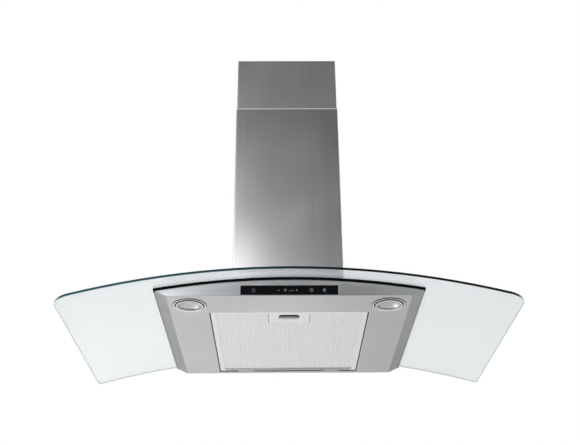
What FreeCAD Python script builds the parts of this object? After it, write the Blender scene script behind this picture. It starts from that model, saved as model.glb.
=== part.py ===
import FreeCAD, Part
import math
import os
from FreeCAD import Vector

# Wall-hung range hood with an arched glass canopy over a shallow steel body.
# Millimetres. +Z is up, the front faces -Y and the wall is the plane Y = 0.
# The origin is midway between the two hanging slots in the back of the chassis.

# ---- driving sizes ---------------------------------------------------------

# Glass canopy
GLASS_WIDTH = 898.0
GLASS_DEPTH = 510.0
GLASS_THICKNESS = 5.0
GLASS_RADIUS = 1634.0          # of the underside, across the width
GLASS_FRONT_CORNER = 30.0
GLASS_REAR_CORNER = 8.0
SLOTS_ABOVE_GLASS = 230.0      # hanging slots above the crown of the underside

# Steel body under the glass
BODY_TOP_WIDTH = 525.0
BODY_CHAMFER_WIDTH = 22.5      # from the bottom plate out to the top edge
BODY_FRONT_INSET = 46.1        # front bottom edge behind the edge of the glass
BODY_HEIGHT = 32.1             # at the middle, up to the seal
FRONT_SLOPE = 0.161            # the front leans out by this share of its height
SHEET = 1.0
GLASS_SEAL = 4.5
SEAL_WIDTH = 12.0
SEAL_INSET = 0.5               # seals inside the edges of the steel
SEAL_LIP = 2.5                 # glass seal out past the steel, at the front and sides
FLANGE_WIDTH = 20.0
LID_LAP = 6.0                  # lid under the flange of the body

# Support bars, bolts and the air opening in the glass
BAR_WIDTH = 24.0
BAR_THICKNESS = 2.0
BAR_END_LAP = 9.0              # bar ends inside the edge of the lid
BOLT_RADIUS = 3.0
BOLT_HOLE_RADIUS = 3.3
BOLT_HEAD_RADIUS = 5.0
BOLT_HEAD_HEIGHT = 4.0
NUT_HEIGHT = 5.0
NUT_RADIUS = 5.5
GLASS_HOLE_RADIUS = 5.0
BOLT_FROM_WALL = 32.0
BOLT_BEFORE_CHASSIS = 13.0     # front bolts ahead of the chassis front
BOLT_BESIDE_CHASSIS = 9.0
AIR_INSET = 10.0               # air opening inside the walls of the chassis
AIR_REAR_MARGIN = 14.0         # air opening ahead of the rear bolts
AIR_CORNER = 8.0

# Touch strip in the front
STRIP_WIDTH = 191.0
STRIP_HEIGHT = 19.0
STRIP_ABOVE_BOTTOM = 1.6
STRIP_THICKNESS = 3.0
STRIP_LAP = 0.5                # strip behind the edge of its window
TRAY_DEPTH = 15.0
TRAY_WALL = 1.5
BOARD_THICKNESS = 1.6
TOUCH_GAP = 5.0                # from the strip to its board
TOUCH_PAD_WIDTH = 7.0
TOUCH_PLACES = (-70.0, -22.0, 14.0, 43.0, 68.0)

# Lamps
LAMP_RADIUS = 34.0
LAMP_LENS_RADIUS = 28.0
LAMP_OPENING_RADIUS = 24.5     # clear opening in the rim that carries the lens
LAMP_GROOVE = 1.0              # groove between that rim and the outer ring
LAMP_BODY_RADIUS = 30.6
LAMP_HOLE_CLEARANCE = 0.4
LAMP_LID_GAP = 1.0             # lamp under the lid, at its outer edge
LAMP_PROUD = 1.3
LAMP_RIM_PROUD = 2.6
LAMP_SIDE_MARGIN = 8.0
LAMP_FRONT_MARGIN = 11.9
LAMP_REAR_MARGIN = 4.0         # rim of the lamp to the collar of the filter
LENS_THICKNESS = 1.6
REFLECTOR_WALL = 0.8
REFLECTOR_BEND_UP = 0.6         # share of its height
REFLECTOR_BEND_OUT = 0.62       # share of the way out to its rim
LIGHT_RADIUS = 9.0
LAMP_CLIP_DROP = 4.0           # top of the clips below the top of the lamp
LAMP_CLIP_WIDTH = 8.0
LAMP_CLIP_REACH = 4.0          # its foot beyond the hole
LAMP_CLIP_SHEET = 1.0

# Grease filter and its opening
OPENING_WIDTH = 324.0
OPENING_REAR = 11.0            # width of the ledge behind the filter
SIDE_COLLAR_HEIGHT = 12.0
FRONT_COLLAR_HEIGHT = 6.0
FILTER_GAP = 2.0               # round the frame, in the opening
FILTER_RECESS = 2.0
FILTER_HEIGHT = 9.5
FRAME_LIP = 10.5
FRAME_SHEET = 1.0
RIB_PITCH = 6.0
RIB_FLAT = 3.4
RIB_SLOPE = 0.8
RIB_HEIGHT = 2.0
RIB_SHEET = 0.5
RIB_WALL = 0.35
CORE_PITCH = 9.0
CORE_FLAT = 4.0
CORE_SLOPE = 1.4
CORE_SHEET = 0.4
NET_THICKNESS = 0.6
NET_BAR = 3.0
NET_COLUMNS = 16
NET_ROWS = 16
DRAIN_WIDTH = 3.2
DRAIN_LENGTH = 8.0
HINGE_GAP = 0.3
TAB_WIDTH = 40.0
TAB_SPREAD = 200.0             # between the middles of the two rear tabs
TAB_REACH = 7.0
TAB_THICKNESS = 1.5

# Handle plate and latch of the filter
HANDLE_WIDTH = 84.0
HANDLE_DEPTH = 48.0
HANDLE_SHEET = 0.8
FINGER_WIDTH = 42.0
FINGER_DEPTH = 23.0
FINGER_FROM_LIP = 5.5
FINGER_CORNER = 7.0
BAY_GAP = 1.0                  # filter layers round the handle
LATCH_TRAVEL = 6.0
LATCH_GAP = 0.3
LATCH_SHEET = 1.5
LATCH_SIDE_GAP = 3.0
LATCH_SPRING_SHUT = 4.0        # length of the springs when the latch is open
LATCH_LIP_HEIGHT = 1.5
LATCH_LIP_BEHIND = 7.0         # lip behind the middle of the finger slot
BOLT_TONGUE_WIDTH = 12.0
BOLT_TONGUE_SPREAD = 56.0
BOLT_TONGUE_HEIGHT = 2.0
BOLT_LAP = 3.0                 # tongues over the front collar
SPRING_STRIP = 0.7
SPRING_PLACE = 0.7             # share of the way out to the side of the latch

# Chimney covers
CHIMNEY_WIDTH = 250.0
CHIMNEY_DEPTH = 233.6
CHIMNEY_SHEET = 0.8
CHIMNEY_BEND = 2.0
CHIMNEY_RETURN = 15.0
LOWER_CHIMNEY_TOP = 567.0      # above the crown of the underside of the glass
UPPER_CHIMNEY_TOP = 715.0
UPPER_CHIMNEY_LENGTH = 500.0
CHIMNEY_SLIDE_GAP = 0.6
RETURN_SLIDE_GAP = 0.8
VENT_WIDTH = 3.6
VENT_LENGTH = 60.0
VENT_PITCH = 9.0
VENT_COUNT = 9
VENT_FROM_TOP = 45.0

# Wall bracket of the upper chimney
BRACKET_SHEET = 2.0
BRACKET_HEIGHT = 25.0
BRACKET_PLATE_WIDTH = 208.0
BRACKET_FORWARD = 14.0
BRACKET_TAB = 26.0
BRACKET_HOLE_RADIUS = 2.75
BRACKET_HOLE_SPACING = 120.0
TRIM_SCREW_RADIUS = 2.0
TRIM_SCREW_HEAD = 3.6
TRIM_SCREW_LENGTH = 7.0

# Sheet metal screws of the chassis, blower and spigot
SCREW_RADIUS = 1.8
SCREW_HEAD_RADIUS = 3.5
SCREW_HEAD_HEIGHT = 1.8
SCREW_LENGTH = 6.0

# Chassis
SIDE_SERVICE_GAP = 27.0        # chassis to the outside of the lower chimney
FRONT_SERVICE_GAP = 43.6
CHASSIS_HEIGHT = 257.5         # from the flange to the top
CHASSIS_SHEET = 1.2
CHASSIS_SEAL = 2.5             # at the crown
CHASSIS_FLANGE = 20.0
CHASSIS_FLANGE_SHEET = 1.5
CHASSIS_FRONT_FLANGE = 26.0
COVER_FLANGE = 12.0
SLOT_SPACING = 150.0
SLOT_LENGTH = 16.0
SLOT_WIDTH = 8.0
SAFETY_HOLE_RADIUS = 3.5
SAFETY_HOLE_ABOVE_FLANGE = 16.5
COVER_SCREW_ROWS = 3
CLIP_WIDTH = 30.0
CLIP_HEIGHT = 12.0
CLIP_ABOVE_FLANGE = 21.0
CLIP_SHEET = 1.5

# Blower
BLOWER_FRONT_GAP = 1.8
BLOWER_REAR_GAP = 17.8
BLOWER_LOW_GAP = 19.0
SCROLL_WALL = 2.0
SCROLL_WIDTH = 116.0
SPIRAL_STEP = 8.0
TONGUE_GAP = 6.0
NECK_FLANGE = 8.0
NECK_FLANGE_THICKNESS = 3.0
INLET_RADIUS = 50.0
INLET_LIP = 4.0
GUARD_THICKNESS = 1.2
GUARD_BAR = 2.0
GUARD_SPOKES = 6
GUARD_RINGS = 4
BLADE_COUNT = 32
BLADE_DEPTH = 11.0
BLADE_THICKNESS = 1.2
BLADE_LEAN = 25.0              # degrees
IMPELLER_SIDE_GAP = 6.0
IMPELLER_RING = 1.6
HUB_RADIUS = 10.0
HUB_LENGTH = 24.0

# Motor
MOTOR_GAP = 8.0                # motor inside the blades
MOTOR_START = 16.0             # its front face, from the middle of the blower
MOTOR_LENGTH = 56.0
MOTOR_WALL = 1.5
END_CAP_THICKNESS = 2.0
SHAFT_RADIUS = 4.0
SHAFT_CLEARANCE = 0.05
BEARING_RADIUS = 8.0
BEARING_LENGTH = 5.0
BEARING_WALL = 2.0
STATOR_LENGTH = 26.0
STATOR_DEPTH = 15.0
AIR_GAP = 0.5
WINDING_LENGTH = 6.0
WINDING_INSET = 2.0
BRACKET_ARMS = 3
ARM_WIDTH = 12.0
ARM_THICKNESS = 2.0
ARM_RING = 4.0
FOOT_RADIUS = 5.0

# Electronics box on the front cover
E_BOX_WIDTH = 120.0
E_BOX_HEIGHT = 100.0
E_BOX_DEPTH = 31.0
E_BOX_WALL = 2.0
E_BOX_ABOVE_FLANGE = 61.0
POST_RADIUS = 3.0
POST_HEIGHT = 5.0
POST_INSET = 6.0               # posts inside the edge of the board
BOARD_MARGIN = 5.0             # board inside the walls of the box
RELAY_SIZE = 15.0
RELAY_COUNT = 3
TERMINAL_DEPTH = 10.5
TERMINAL_HEIGHT = 9.0
CAPACITOR_RADIUS = 10.0
CAPACITOR_LENGTH = 55.0
GLAND_RADIUS = 9.0
GLAND_BORE = 4.0
GLAND_HEIGHT = 14.0
GLAND_NUT = 4.0

# Exhaust spigot
SPIGOT_RADIUS = 75.0
SPIGOT_WALL = 2.0
SPIGOT_HEIGHT = 66.0
SPIGOT_REAR_GAP = 20.0         # from the wall to the pipe
PLENUM_HEIGHT = 12.0
SPIGOT_FLANGE_LIP = 8.0
FLAP_LEDGE = 3.5
FLAP_LEDGE_THICKNESS = 2.0
FLAP_ABOVE_PLENUM = 4.0
FLAP_GAP = 0.3
FLAP_THICKNESS = 1.6
FLAP_EDGE_GAP = 2.0
FLAP_PIN_OFFSET = 5.0          # pins each side of the middle
FLAP_PIN_RADIUS = 1.5
FLAP_PIN_CLEARANCE = 0.05
FLAP_BARREL_RADIUS = 3.0

# ---- planes and places worked out from them ----------------------------------

GLASS_Z = -SLOTS_ABOVE_GLASS
ARCH_Z = GLASS_Z - GLASS_RADIUS
BODY_TOP_HALF = BODY_TOP_WIDTH / 2
BODY_HALF = BODY_TOP_HALF - BODY_CHAMFER_WIDTH
BOTTOM_Z = GLASS_Z - GLASS_SEAL - BODY_HEIGHT
FRONT_Y = BODY_FRONT_INSET - GLASS_DEPTH

CHASSIS_HALF = CHIMNEY_WIDTH / 2 - SIDE_SERVICE_GAP
CHASSIS_FRONT = FRONT_SERVICE_GAP - CHIMNEY_DEPTH
FLANGE_Z = GLASS_Z + GLASS_THICKNESS + CHASSIS_SEAL
FLANGE_TOP = FLANGE_Z + CHASSIS_FLANGE_SHEET
CHASSIS_TOP = FLANGE_Z + CHASSIS_HEIGHT
FLANGE_HALF = CHASSIS_HALF + CHASSIS_FLANGE
FLANGE_FRONT = CHASSIS_FRONT - CHASSIS_FRONT_FLANGE

BOLT_X = CHASSIS_HALF + BOLT_BESIDE_CHASSIS
BOLT_ROWS = (-BOLT_FROM_WALL, CHASSIS_FRONT - BOLT_BEFORE_CHASSIS)
AIR_HALF = CHASSIS_HALF - AIR_INSET
AIR_FRONT = CHASSIS_FRONT + AIR_INSET
AIR_REAR = -BOLT_FROM_WALL - AIR_REAR_MARGIN

LAMP_X = BODY_HALF - LAMP_SIDE_MARGIN - LAMP_RADIUS
LAMP_Y = FRONT_Y + LAMP_FRONT_MARGIN + LAMP_RADIUS
LID_RADIUS = GLASS_RADIUS - GLASS_SEAL - 2 * SHEET
LAMP_LID_Z = ARCH_Z + math.sqrt(LID_RADIUS ** 2 - (LAMP_X + LAMP_BODY_RADIUS) ** 2)
LAMP_HEIGHT = LAMP_LID_Z - LAMP_LID_GAP - BOTTOM_Z
LAMP_CLIP_HEIGHT = LAMP_HEIGHT - SHEET - LAMP_CLIP_DROP
OPENING_HALF = OPENING_WIDTH / 2
OPENING_FRONT = LAMP_Y + LAMP_RADIUS + LAMP_REAR_MARGIN + SHEET

FILTER_HALF = OPENING_HALF - FILTER_GAP
FILTER_FRONT = OPENING_FRONT + FILTER_GAP
FILTER_REAR = -OPENING_REAR - FILTER_GAP
FILTER_Z = BOTTOM_Z + FILTER_RECESS
FILTER_TOP = FILTER_Z + FILTER_HEIGHT
LAYER_Z = FILTER_Z + FRAME_SHEET
LAYER_TOP = FILTER_TOP - FRAME_SHEET
LAYER_MARGIN = 2.5 * FRAME_SHEET
LEDGE_TOP = BOTTOM_Z + SHEET

HANDLE_HALF = HANDLE_WIDTH / 2
HANDLE_FRONT = FILTER_FRONT + FRAME_LIP
HANDLE_REAR = HANDLE_FRONT + HANDLE_DEPTH
FINGER_Y = HANDLE_FRONT + FINGER_FROM_LIP + FINGER_DEPTH / 2
TONGUE_Z = BOTTOM_Z + FRONT_COLLAR_HEIGHT + LATCH_GAP
TONGUE_TOP = TONGUE_Z + BOLT_TONGUE_HEIGHT
LATCH_HALF = HANDLE_HALF - HANDLE_SHEET - LATCH_SIDE_GAP
LATCH_SPRING_LENGTH = LATCH_SPRING_SHUT + LATCH_TRAVEL
LATCH_REAR = HANDLE_REAR - HANDLE_SHEET - LATCH_SPRING_LENGTH

CHIMNEY_HALF = CHIMNEY_WIDTH / 2
UPPER_HALF = CHIMNEY_HALF - CHIMNEY_SHEET - CHIMNEY_SLIDE_GAP
UPPER_FRONT = -CHIMNEY_DEPTH + CHIMNEY_SHEET + CHIMNEY_SLIDE_GAP
UPPER_REAR = -CHIMNEY_SHEET - RETURN_SLIDE_GAP
UPPER_TOP = GLASS_Z + UPPER_CHIMNEY_TOP
BRACKET_Z = UPPER_TOP - BRACKET_HEIGHT

SCROLL_HALF = SCROLL_WIDTH / 2
SCROLL_FRONT = CHASSIS_FRONT + CHASSIS_SHEET + BLOWER_FRONT_GAP
SCROLL_REAR = -CHASSIS_SHEET - BLOWER_REAR_GAP
SPIRAL_SPAN = SCROLL_REAR - SCROLL_FRONT - 2 * SCROLL_WALL
SPIRAL_RADIUS = (SPIRAL_SPAN - 3 * SPIRAL_STEP) / 2
BLOWER_Y = SCROLL_REAR - SCROLL_WALL - SPIRAL_RADIUS - SPIRAL_STEP / 2
BLOWER_Z = FLANGE_TOP + BLOWER_LOW_GAP + SPIRAL_RADIUS + 1.5 * SPIRAL_STEP + SCROLL_WALL
NECK_REAR = BLOWER_Y + SPIRAL_STEP / 2
IMPELLER_RADIUS = SPIRAL_RADIUS - SPIRAL_STEP / 2 - TONGUE_GAP
IMPELLER_HALF = SCROLL_HALF - SCROLL_WALL - IMPELLER_SIDE_GAP
BLADE_INNER = IMPELLER_RADIUS - BLADE_DEPTH

MOTOR_RADIUS = BLADE_INNER - MOTOR_GAP
MOTOR_END = MOTOR_START + MOTOR_LENGTH
FRONT_BEARING = MOTOR_START + MOTOR_WALL
REAR_BEARING = MOTOR_END - BEARING_LENGTH
STATOR_START = (MOTOR_START + MOTOR_END - STATOR_LENGTH) / 2
STATOR_INNER = MOTOR_RADIUS - MOTOR_WALL - STATOR_DEPTH
ARM_X = SCROLL_HALF + INLET_LIP
FOOT_AT = INLET_RADIUS + SCROLL_WALL + FOOT_RADIUS

E_BOX_Z = FLANGE_TOP + E_BOX_ABOVE_FLANGE
E_BOX_BACK = CHASSIS_FRONT - CHASSIS_SHEET
E_BOX_FRONT = E_BOX_BACK - E_BOX_DEPTH
BOARD_BACK = E_BOX_BACK - E_BOX_WALL - POST_HEIGHT

SPIGOT_Y = -SPIGOT_REAR_GAP - SPIGOT_RADIUS
PLENUM_FRONT = SCROLL_FRONT
PLENUM_REAR = SPIGOT_Y + SPIGOT_RADIUS + SPIGOT_WALL
PLENUM_TOP = CHASSIS_TOP + PLENUM_HEIGHT
LEDGE_Z = PLENUM_TOP + FLAP_ABOVE_PLENUM
FLAP_Z = LEDGE_Z + FLAP_LEDGE_THICKNESS + FLAP_GAP
PIN_Z = FLAP_Z + FLAP_THICKNESS / 2
SPIGOT_BORE = SPIGOT_RADIUS - SPIGOT_WALL

X_AXIS = Vector(1, 0, 0)
Y_AXIS = Vector(0, 1, 0)
Z_AXIS = Vector(0, 0, 1)
CROSS = 5.0                    # how far a cut runs past what it cuts
TALL = 2000.0                  # longer than anything here

# ---- shapes that several pieces use ------------------------------------------


def box(x0, x1, y0, y1, z0, z1):
    return Part.makeBox(x1 - x0, y1 - y0, z1 - z0, Vector(x0, y0, z0))


def rod(radius, x, y, z, length, axis):
    return Part.makeCylinder(radius, length, Vector(x, y, z), axis)


def ring(outer, inner, x, y, z, length, axis):
    return rod(outer, x, y, z, length, axis).cut(rod(inner, x, y, z, length, axis))


def polygon_face(corners):
    return Part.Face(Part.makePolygon(corners + corners[:1]))


def prism_along_y(profile, y0, y1):
    """Solid of a closed profile of (x, z) points, carried from y0 to y1."""
    face = polygon_face([Vector(x, y0, z) for x, z in profile])
    return face.extrude(Vector(0, y1 - y0, 0))


def prism_along_x(profile, x0, x1):
    """Solid of a closed profile of (y, z) points, carried from x0 to x1."""
    face = polygon_face([Vector(x0, y, z) for y, z in profile])
    return face.extrude(Vector(x1 - x0, 0, 0))


def corner_arc(cx, cy, radius, start):
    """Quarter arc about (cx, cy) that begins at the angle start, in degrees."""
    angles = [math.radians(start + step) for step in (0, 45, 90)]
    return [Vector(cx + radius * math.cos(a), cy + radius * math.sin(a), 0) for a in angles]


def rounded_block(x0, x1, y0, y1, z0, z1, front, rear):
    """Upright block whose front and rear corners have their own radii."""
    arcs = [
        corner_arc(x0 + front, y0 + front, front, 180),
        corner_arc(x1 - front, y0 + front, front, 270),
        corner_arc(x1 - rear, y1 - rear, rear, 0),
        corner_arc(x0 + rear, y1 - rear, rear, 90),
    ]
    edges = []
    for number, arc in enumerate(arcs):
        edges.append(Part.Arc(*arc).toShape())
        following = arcs[(number + 1) % len(arcs)]
        edges.append(Part.LineSegment(arc[2], following[0]).toShape())
    face = Part.Face(Part.Wire(edges))
    face.translate(Vector(0, 0, z0))
    return face.extrude(Vector(0, 0, z1 - z0))


def slot_along_x(length, width, x, y, z, depth):
    """Round-ended slot, its long way along X, cut from (x, y, z) along Y."""
    reach = (length - width) / 2
    radius = width / 2
    ends = [rod(radius, x + side * reach, y, z, depth, Y_AXIS) for side in (-1, 1)]
    middle = box(x - reach, x + reach, y, y + depth, z - radius, z + radius)
    return ends[0].fuse(ends[1]).fuse(middle).removeSplitter()


def arch_z(x, rise):
    """Height at x of the arch that lies rise above the underside of the glass."""
    return ARCH_Z + math.sqrt((GLASS_RADIUS + rise) ** 2 - x * x)


def arched_sheet(x0, x1, y0, y1, low, high):
    """Sheet between two arches, low and high above the underside of the glass."""
    middle = (x0 + x1) / 2
    lower = [Vector(x, y0, arch_z(x, low)) for x in (x0, middle, x1)]
    upper = [Vector(x, y0, arch_z(x, high)) for x in (x1, middle, x0)]
    edges = [
        Part.Arc(*lower).toShape(),
        Part.LineSegment(lower[2], upper[0]).toShape(),
        Part.Arc(*upper).toShape(),
        Part.LineSegment(upper[2], lower[0]).toShape(),
    ]
    return Part.Face(Part.Wire(edges)).extrude(Vector(0, y1 - y0, 0))


def under_arch(rise):
    """Everything below the arch that lies rise above the underside of the glass."""
    start = Vector(0, -TALL, ARCH_Z)
    return Part.makeCylinder(GLASS_RADIUS + rise, 2 * TALL, start, Y_AXIS)


def polar(radius, angle):
    return radius * math.cos(angle), radius * math.sin(angle)


def turned(profile, x, y):
    """Solid of a closed profile of (radius, height) points about a vertical line."""
    face = polygon_face([Vector(x + r, y, z) for r, z in profile])
    return face.revolve(Vector(x, y, 0), Z_AXIS, 360)


def front_y(z):
    """Outer face of the leaning front panel at height z."""
    return FRONT_Y - FRONT_SLOPE * (z - BOTTOM_Z)


def slanted_slab(x0, x1, z0, z1, near, far):
    """Slab parallel to the front panel, from near to far behind its outer face."""
    profile = [
        (front_y(z0) + near, z0),
        (front_y(z0) + far, z0),
        (front_y(z1) + far, z1),
        (front_y(z1) + near, z1),
    ]
    return prism_along_x(profile, x0, x1)


def bolt_places():
    return [(side * BOLT_X, y) for y in BOLT_ROWS for side in (-1, 1)]


def cut_all(shape, tools):
    for tool in tools:
        shape = shape.cut(tool)
    return shape


def upright_holes(radius, places, z0, z1):
    return [rod(radius, x, y, z0, z1 - z0, Z_AXIS) for x, y in places]


# ---- glass and its seals -------------------------------------------------------


def air_opening(low, high):
    return rounded_block(
        -AIR_HALF, AIR_HALF, AIR_FRONT, AIR_REAR, GLASS_Z + low, GLASS_Z + high, AIR_CORNER, AIR_CORNER
    )


def glass_canopy():
    half = GLASS_WIDTH / 2
    wide = half + CROSS
    sheet = arched_sheet(-wide, wide, -GLASS_DEPTH - CROSS, CROSS, 0, GLASS_THICKNESS)
    drop = GLASS_Z - arch_z(wide, 0)
    outline = rounded_block(
        -half, half, -GLASS_DEPTH, 0, GLASS_Z - drop - CROSS, GLASS_Z + GLASS_THICKNESS + CROSS,
        GLASS_FRONT_CORNER, GLASS_REAR_CORNER
    )
    glass = sheet.common(outline)
    reach = GLASS_THICKNESS + CROSS
    holes = upright_holes(GLASS_HOLE_RADIUS, bolt_places(), GLASS_Z - reach, GLASS_Z + reach)
    return cut_all(glass, [air_opening(-reach, reach)] + holes)


def behind_front(inset):
    """Everything behind the leaning front panel moved in by inset, and off the wall."""
    shift = inset * math.hypot(1, FRONT_SLOPE)
    reach = TALL / 10
    low = BOTTOM_Z - reach
    high = BOTTOM_Z + reach
    profile = [
        (front_y(low) + shift, low),
        (-inset, low),
        (-inset, high),
        (front_y(high) + shift, high),
    ]
    return prism_along_x(profile, -TALL, TALL)


def glass_gasket():
    """Black seal on the flange of the body, under the glass, its lip ahead of the steel."""
    half = BODY_TOP_HALF + SEAL_LIP
    hole = BODY_TOP_HALF - SEAL_INSET - SEAL_WIDTH
    front = front_y(GLASS_Z - GLASS_SEAL)
    ahead = front - SEAL_LIP - CROSS
    outer = arched_sheet(-half, half, ahead, -SEAL_INSET, -GLASS_SEAL, 0).common(behind_front(-SEAL_LIP))
    inner = box(
        -hole, hole, front + SEAL_INSET + SEAL_WIDTH, -SEAL_INSET - SEAL_WIDTH,
        GLASS_Z - TALL / 10, GLASS_Z + TALL / 10
    )
    return outer.cut(inner)


def glass_grommets():
    """Plastic sleeves that keep the bolts off the glass."""
    sleeves = []
    for x, y in bolt_places():
        sleeve = ring(GLASS_HOLE_RADIUS, BOLT_HOLE_RADIUS, x, y, GLASS_Z - TALL / 2, TALL, Z_AXIS)
        sheet = arched_sheet(
            x - GLASS_HOLE_RADIUS, x + GLASS_HOLE_RADIUS, y - CROSS, y + CROSS, 0, GLASS_THICKNESS
        )
        sleeves.append(sleeve.common(sheet))
    return Part.makeCompound(sleeves)


def duct_gasket():
    """Foam pad round the air opening, from the lid up to the glass."""
    rear = -FLANGE_WIDTH - SEAL_INSET
    pad = arched_sheet(-FLANGE_HALF, FLANGE_HALF, FLANGE_FRONT, rear, -GLASS_SEAL - SHEET, 0)
    reach = GLASS_SEAL + 2 * CROSS
    holes = upright_holes(BOLT_HOLE_RADIUS, bolt_places(), GLASS_Z - reach, GLASS_Z + reach)
    return cut_all(pad, [air_opening(-reach, reach)] + holes)


def chassis_gasket():
    """Foam pad that takes up the arch between the glass and the flat flange."""
    low = GLASS_Z - GLASS_THICKNESS
    pad = box(-FLANGE_HALF, FLANGE_HALF, FLANGE_FRONT, -CHASSIS_SHEET, low, FLANGE_Z)
    reach = GLASS_THICKNESS + CHASSIS_SEAL + CROSS
    holes = upright_holes(BOLT_HOLE_RADIUS, bolt_places(), GLASS_Z - reach, GLASS_Z + reach)
    return cut_all(pad, [under_arch(GLASS_THICKNESS), air_opening(-reach, reach)] + holes)


# ---- steel body ------------------------------------------------------------------


def body_block(inset, top_rise):
    """The body as a solid, its skin moved in by inset, up to the given arch."""
    edge_z = arch_z(BODY_TOP_HALF, -GLASS_SEAL)
    slope = (edge_z - BOTTOM_Z) / BODY_CHAMFER_WIDTH
    floor = BOTTOM_Z + inset
    shift = inset * (math.hypot(1, slope) - 1) / slope
    run = TALL / 4
    section = [
        (-BODY_HALF + shift, floor),
        (BODY_HALF - shift, floor),
        (BODY_HALF - shift + run, floor + run * slope),
        (-BODY_HALF + shift - run, floor + run * slope),
    ]
    block = prism_along_y(section, -TALL, TALL).common(behind_front(inset))
    sides = box(inset - BODY_TOP_HALF, BODY_TOP_HALF - inset, -TALL, TALL, -TALL, TALL)
    return block.common(sides).common(under_arch(top_rise))


def filter_opening():
    return box(
        -OPENING_HALF, OPENING_HALF, OPENING_FRONT, -OPENING_REAR, BOTTOM_Z - CROSS, LEDGE_TOP + CROSS
    )


def opening_collars():
    """Folded edges at the front and the two sides of the filter opening."""
    outer = OPENING_HALF + SHEET
    front = box(
        -outer, outer, OPENING_FRONT - SHEET, OPENING_FRONT, BOTTOM_Z, BOTTOM_Z + FRONT_COLLAR_HEIGHT
    )
    top = BOTTOM_Z + SIDE_COLLAR_HEIGHT
    left = box(-outer, -OPENING_HALF, OPENING_FRONT, -OPENING_REAR, BOTTOM_Z, top)
    right = box(OPENING_HALF, outer, OPENING_FRONT, -OPENING_REAR, BOTTOM_Z, top)
    return front.fuse([left, right])


def strip_span(lap):
    """Bottom and top of the touch strip, with the given lap past its window."""
    low = BOTTOM_Z + STRIP_ABOVE_BOTTOM
    return low - lap, low + STRIP_HEIGHT + lap


def body_shell():
    shell = body_block(0, -GLASS_SEAL).cut(body_block(SHEET, -GLASS_SEAL - SHEET))
    half = BODY_TOP_HALF - FLANGE_WIDTH
    front = front_y(GLASS_Z - GLASS_SEAL) + FLANGE_WIDTH
    middle = GLASS_Z - GLASS_SEAL - BODY_HEIGHT / 2
    window = box(-half, half, front, -FLANGE_WIDTH, middle - CROSS, GLASS_Z + CROSS)
    low, high = strip_span(0)
    strip = slanted_slab(-STRIP_WIDTH / 2, STRIP_WIDTH / 2, low, high, -CROSS, CROSS)
    lamps = upright_holes(
        LAMP_BODY_RADIUS + LAMP_HOLE_CLEARANCE, [(-LAMP_X, LAMP_Y), (LAMP_X, LAMP_Y)],
        BOTTOM_Z - CROSS, LEDGE_TOP + CROSS
    )
    shell = cut_all(shell, [window, strip, filter_opening()] + lamps)
    return shell.fuse(opening_collars()).removeSplitter()


def body_lid():
    """Curved sheet under the flange of the body, with the air opening."""
    half = BODY_TOP_HALF - FLANGE_WIDTH + LID_LAP
    front = front_y(GLASS_Z - GLASS_SEAL) + FLANGE_WIDTH - LID_LAP
    top = -GLASS_SEAL - SHEET
    lid = arched_sheet(-half, half, front, LID_LAP - FLANGE_WIDTH, top - SHEET, top)
    reach = GLASS_SEAL + 2 * CROSS
    holes = upright_holes(BOLT_HOLE_RADIUS, bolt_places(), GLASS_Z - 2 * reach, GLASS_Z)
    return cut_all(lid, [air_opening(-2 * reach, 0)] + holes)


def support_bars():
    """Two curved flats under the lid that carry the chassis bolts."""
    half = BODY_TOP_HALF - FLANGE_WIDTH + LID_LAP - BAR_END_LAP
    top = -GLASS_SEAL - 2 * SHEET
    bars = []
    for y in BOLT_ROWS:
        bar = arched_sheet(-half, half, y - BAR_WIDTH / 2, y + BAR_WIDTH / 2, top - BAR_THICKNESS, top)
        places = [(-BOLT_X, y), (BOLT_X, y)]
        holes = upright_holes(BOLT_HOLE_RADIUS, places, GLASS_Z - TALL / 20, GLASS_Z)
        air = air_opening(-TALL / 20, 0)
        bars.append(cut_all(bar, [air] + holes))
    return Part.makeCompound(bars)


def nut_top():
    """Highest plane for a flat nut that lies wholly under the curved bar."""
    rise = -GLASS_SEAL - 2 * SHEET - BAR_THICKNESS
    return arch_z(BOLT_X + NUT_RADIUS, rise)


def chassis_bolts():
    bolts = []
    foot = nut_top() - NUT_HEIGHT
    for x, y in bolt_places():
        shank = rod(BOLT_RADIUS, x, y, foot, FLANGE_TOP - foot, Z_AXIS)
        head = rod(BOLT_HEAD_RADIUS, x, y, FLANGE_TOP, BOLT_HEAD_HEIGHT, Z_AXIS)
        socket = rod(BOLT_RADIUS / 2, x, y, FLANGE_TOP + BOLT_HEAD_HEIGHT / 2, CROSS, Z_AXIS)
        bolts.append(shank.fuse(head).cut(socket))
    return Part.makeCompound(bolts)


def hexagon(radius, x, y, z, height):
    corners = []
    for step in range(6):
        dx, dy = polar(radius, math.pi / 3 * step)
        corners.append(Vector(x + dx, y + dy, z))
    return polygon_face(corners).extrude(Vector(0, 0, height))


def chassis_nuts():
    nuts = []
    foot = nut_top() - NUT_HEIGHT
    for x, y in bolt_places():
        nut = hexagon(NUT_RADIUS, x, y, foot, NUT_HEIGHT)
        nuts.append(nut.cut(rod(BOLT_RADIUS, x, y, foot, NUT_HEIGHT, Z_AXIS)))
    return Part.makeCompound(nuts)


# ---- touch strip --------------------------------------------------------------------


def control_fascia():
    low, high = strip_span(STRIP_LAP)
    half = STRIP_WIDTH / 2 + 2 * STRIP_LAP
    face = SHEET * math.hypot(1, FRONT_SLOPE)
    return slanted_slab(-half, half, low, high, face, face + STRIP_THICKNESS)


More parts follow.
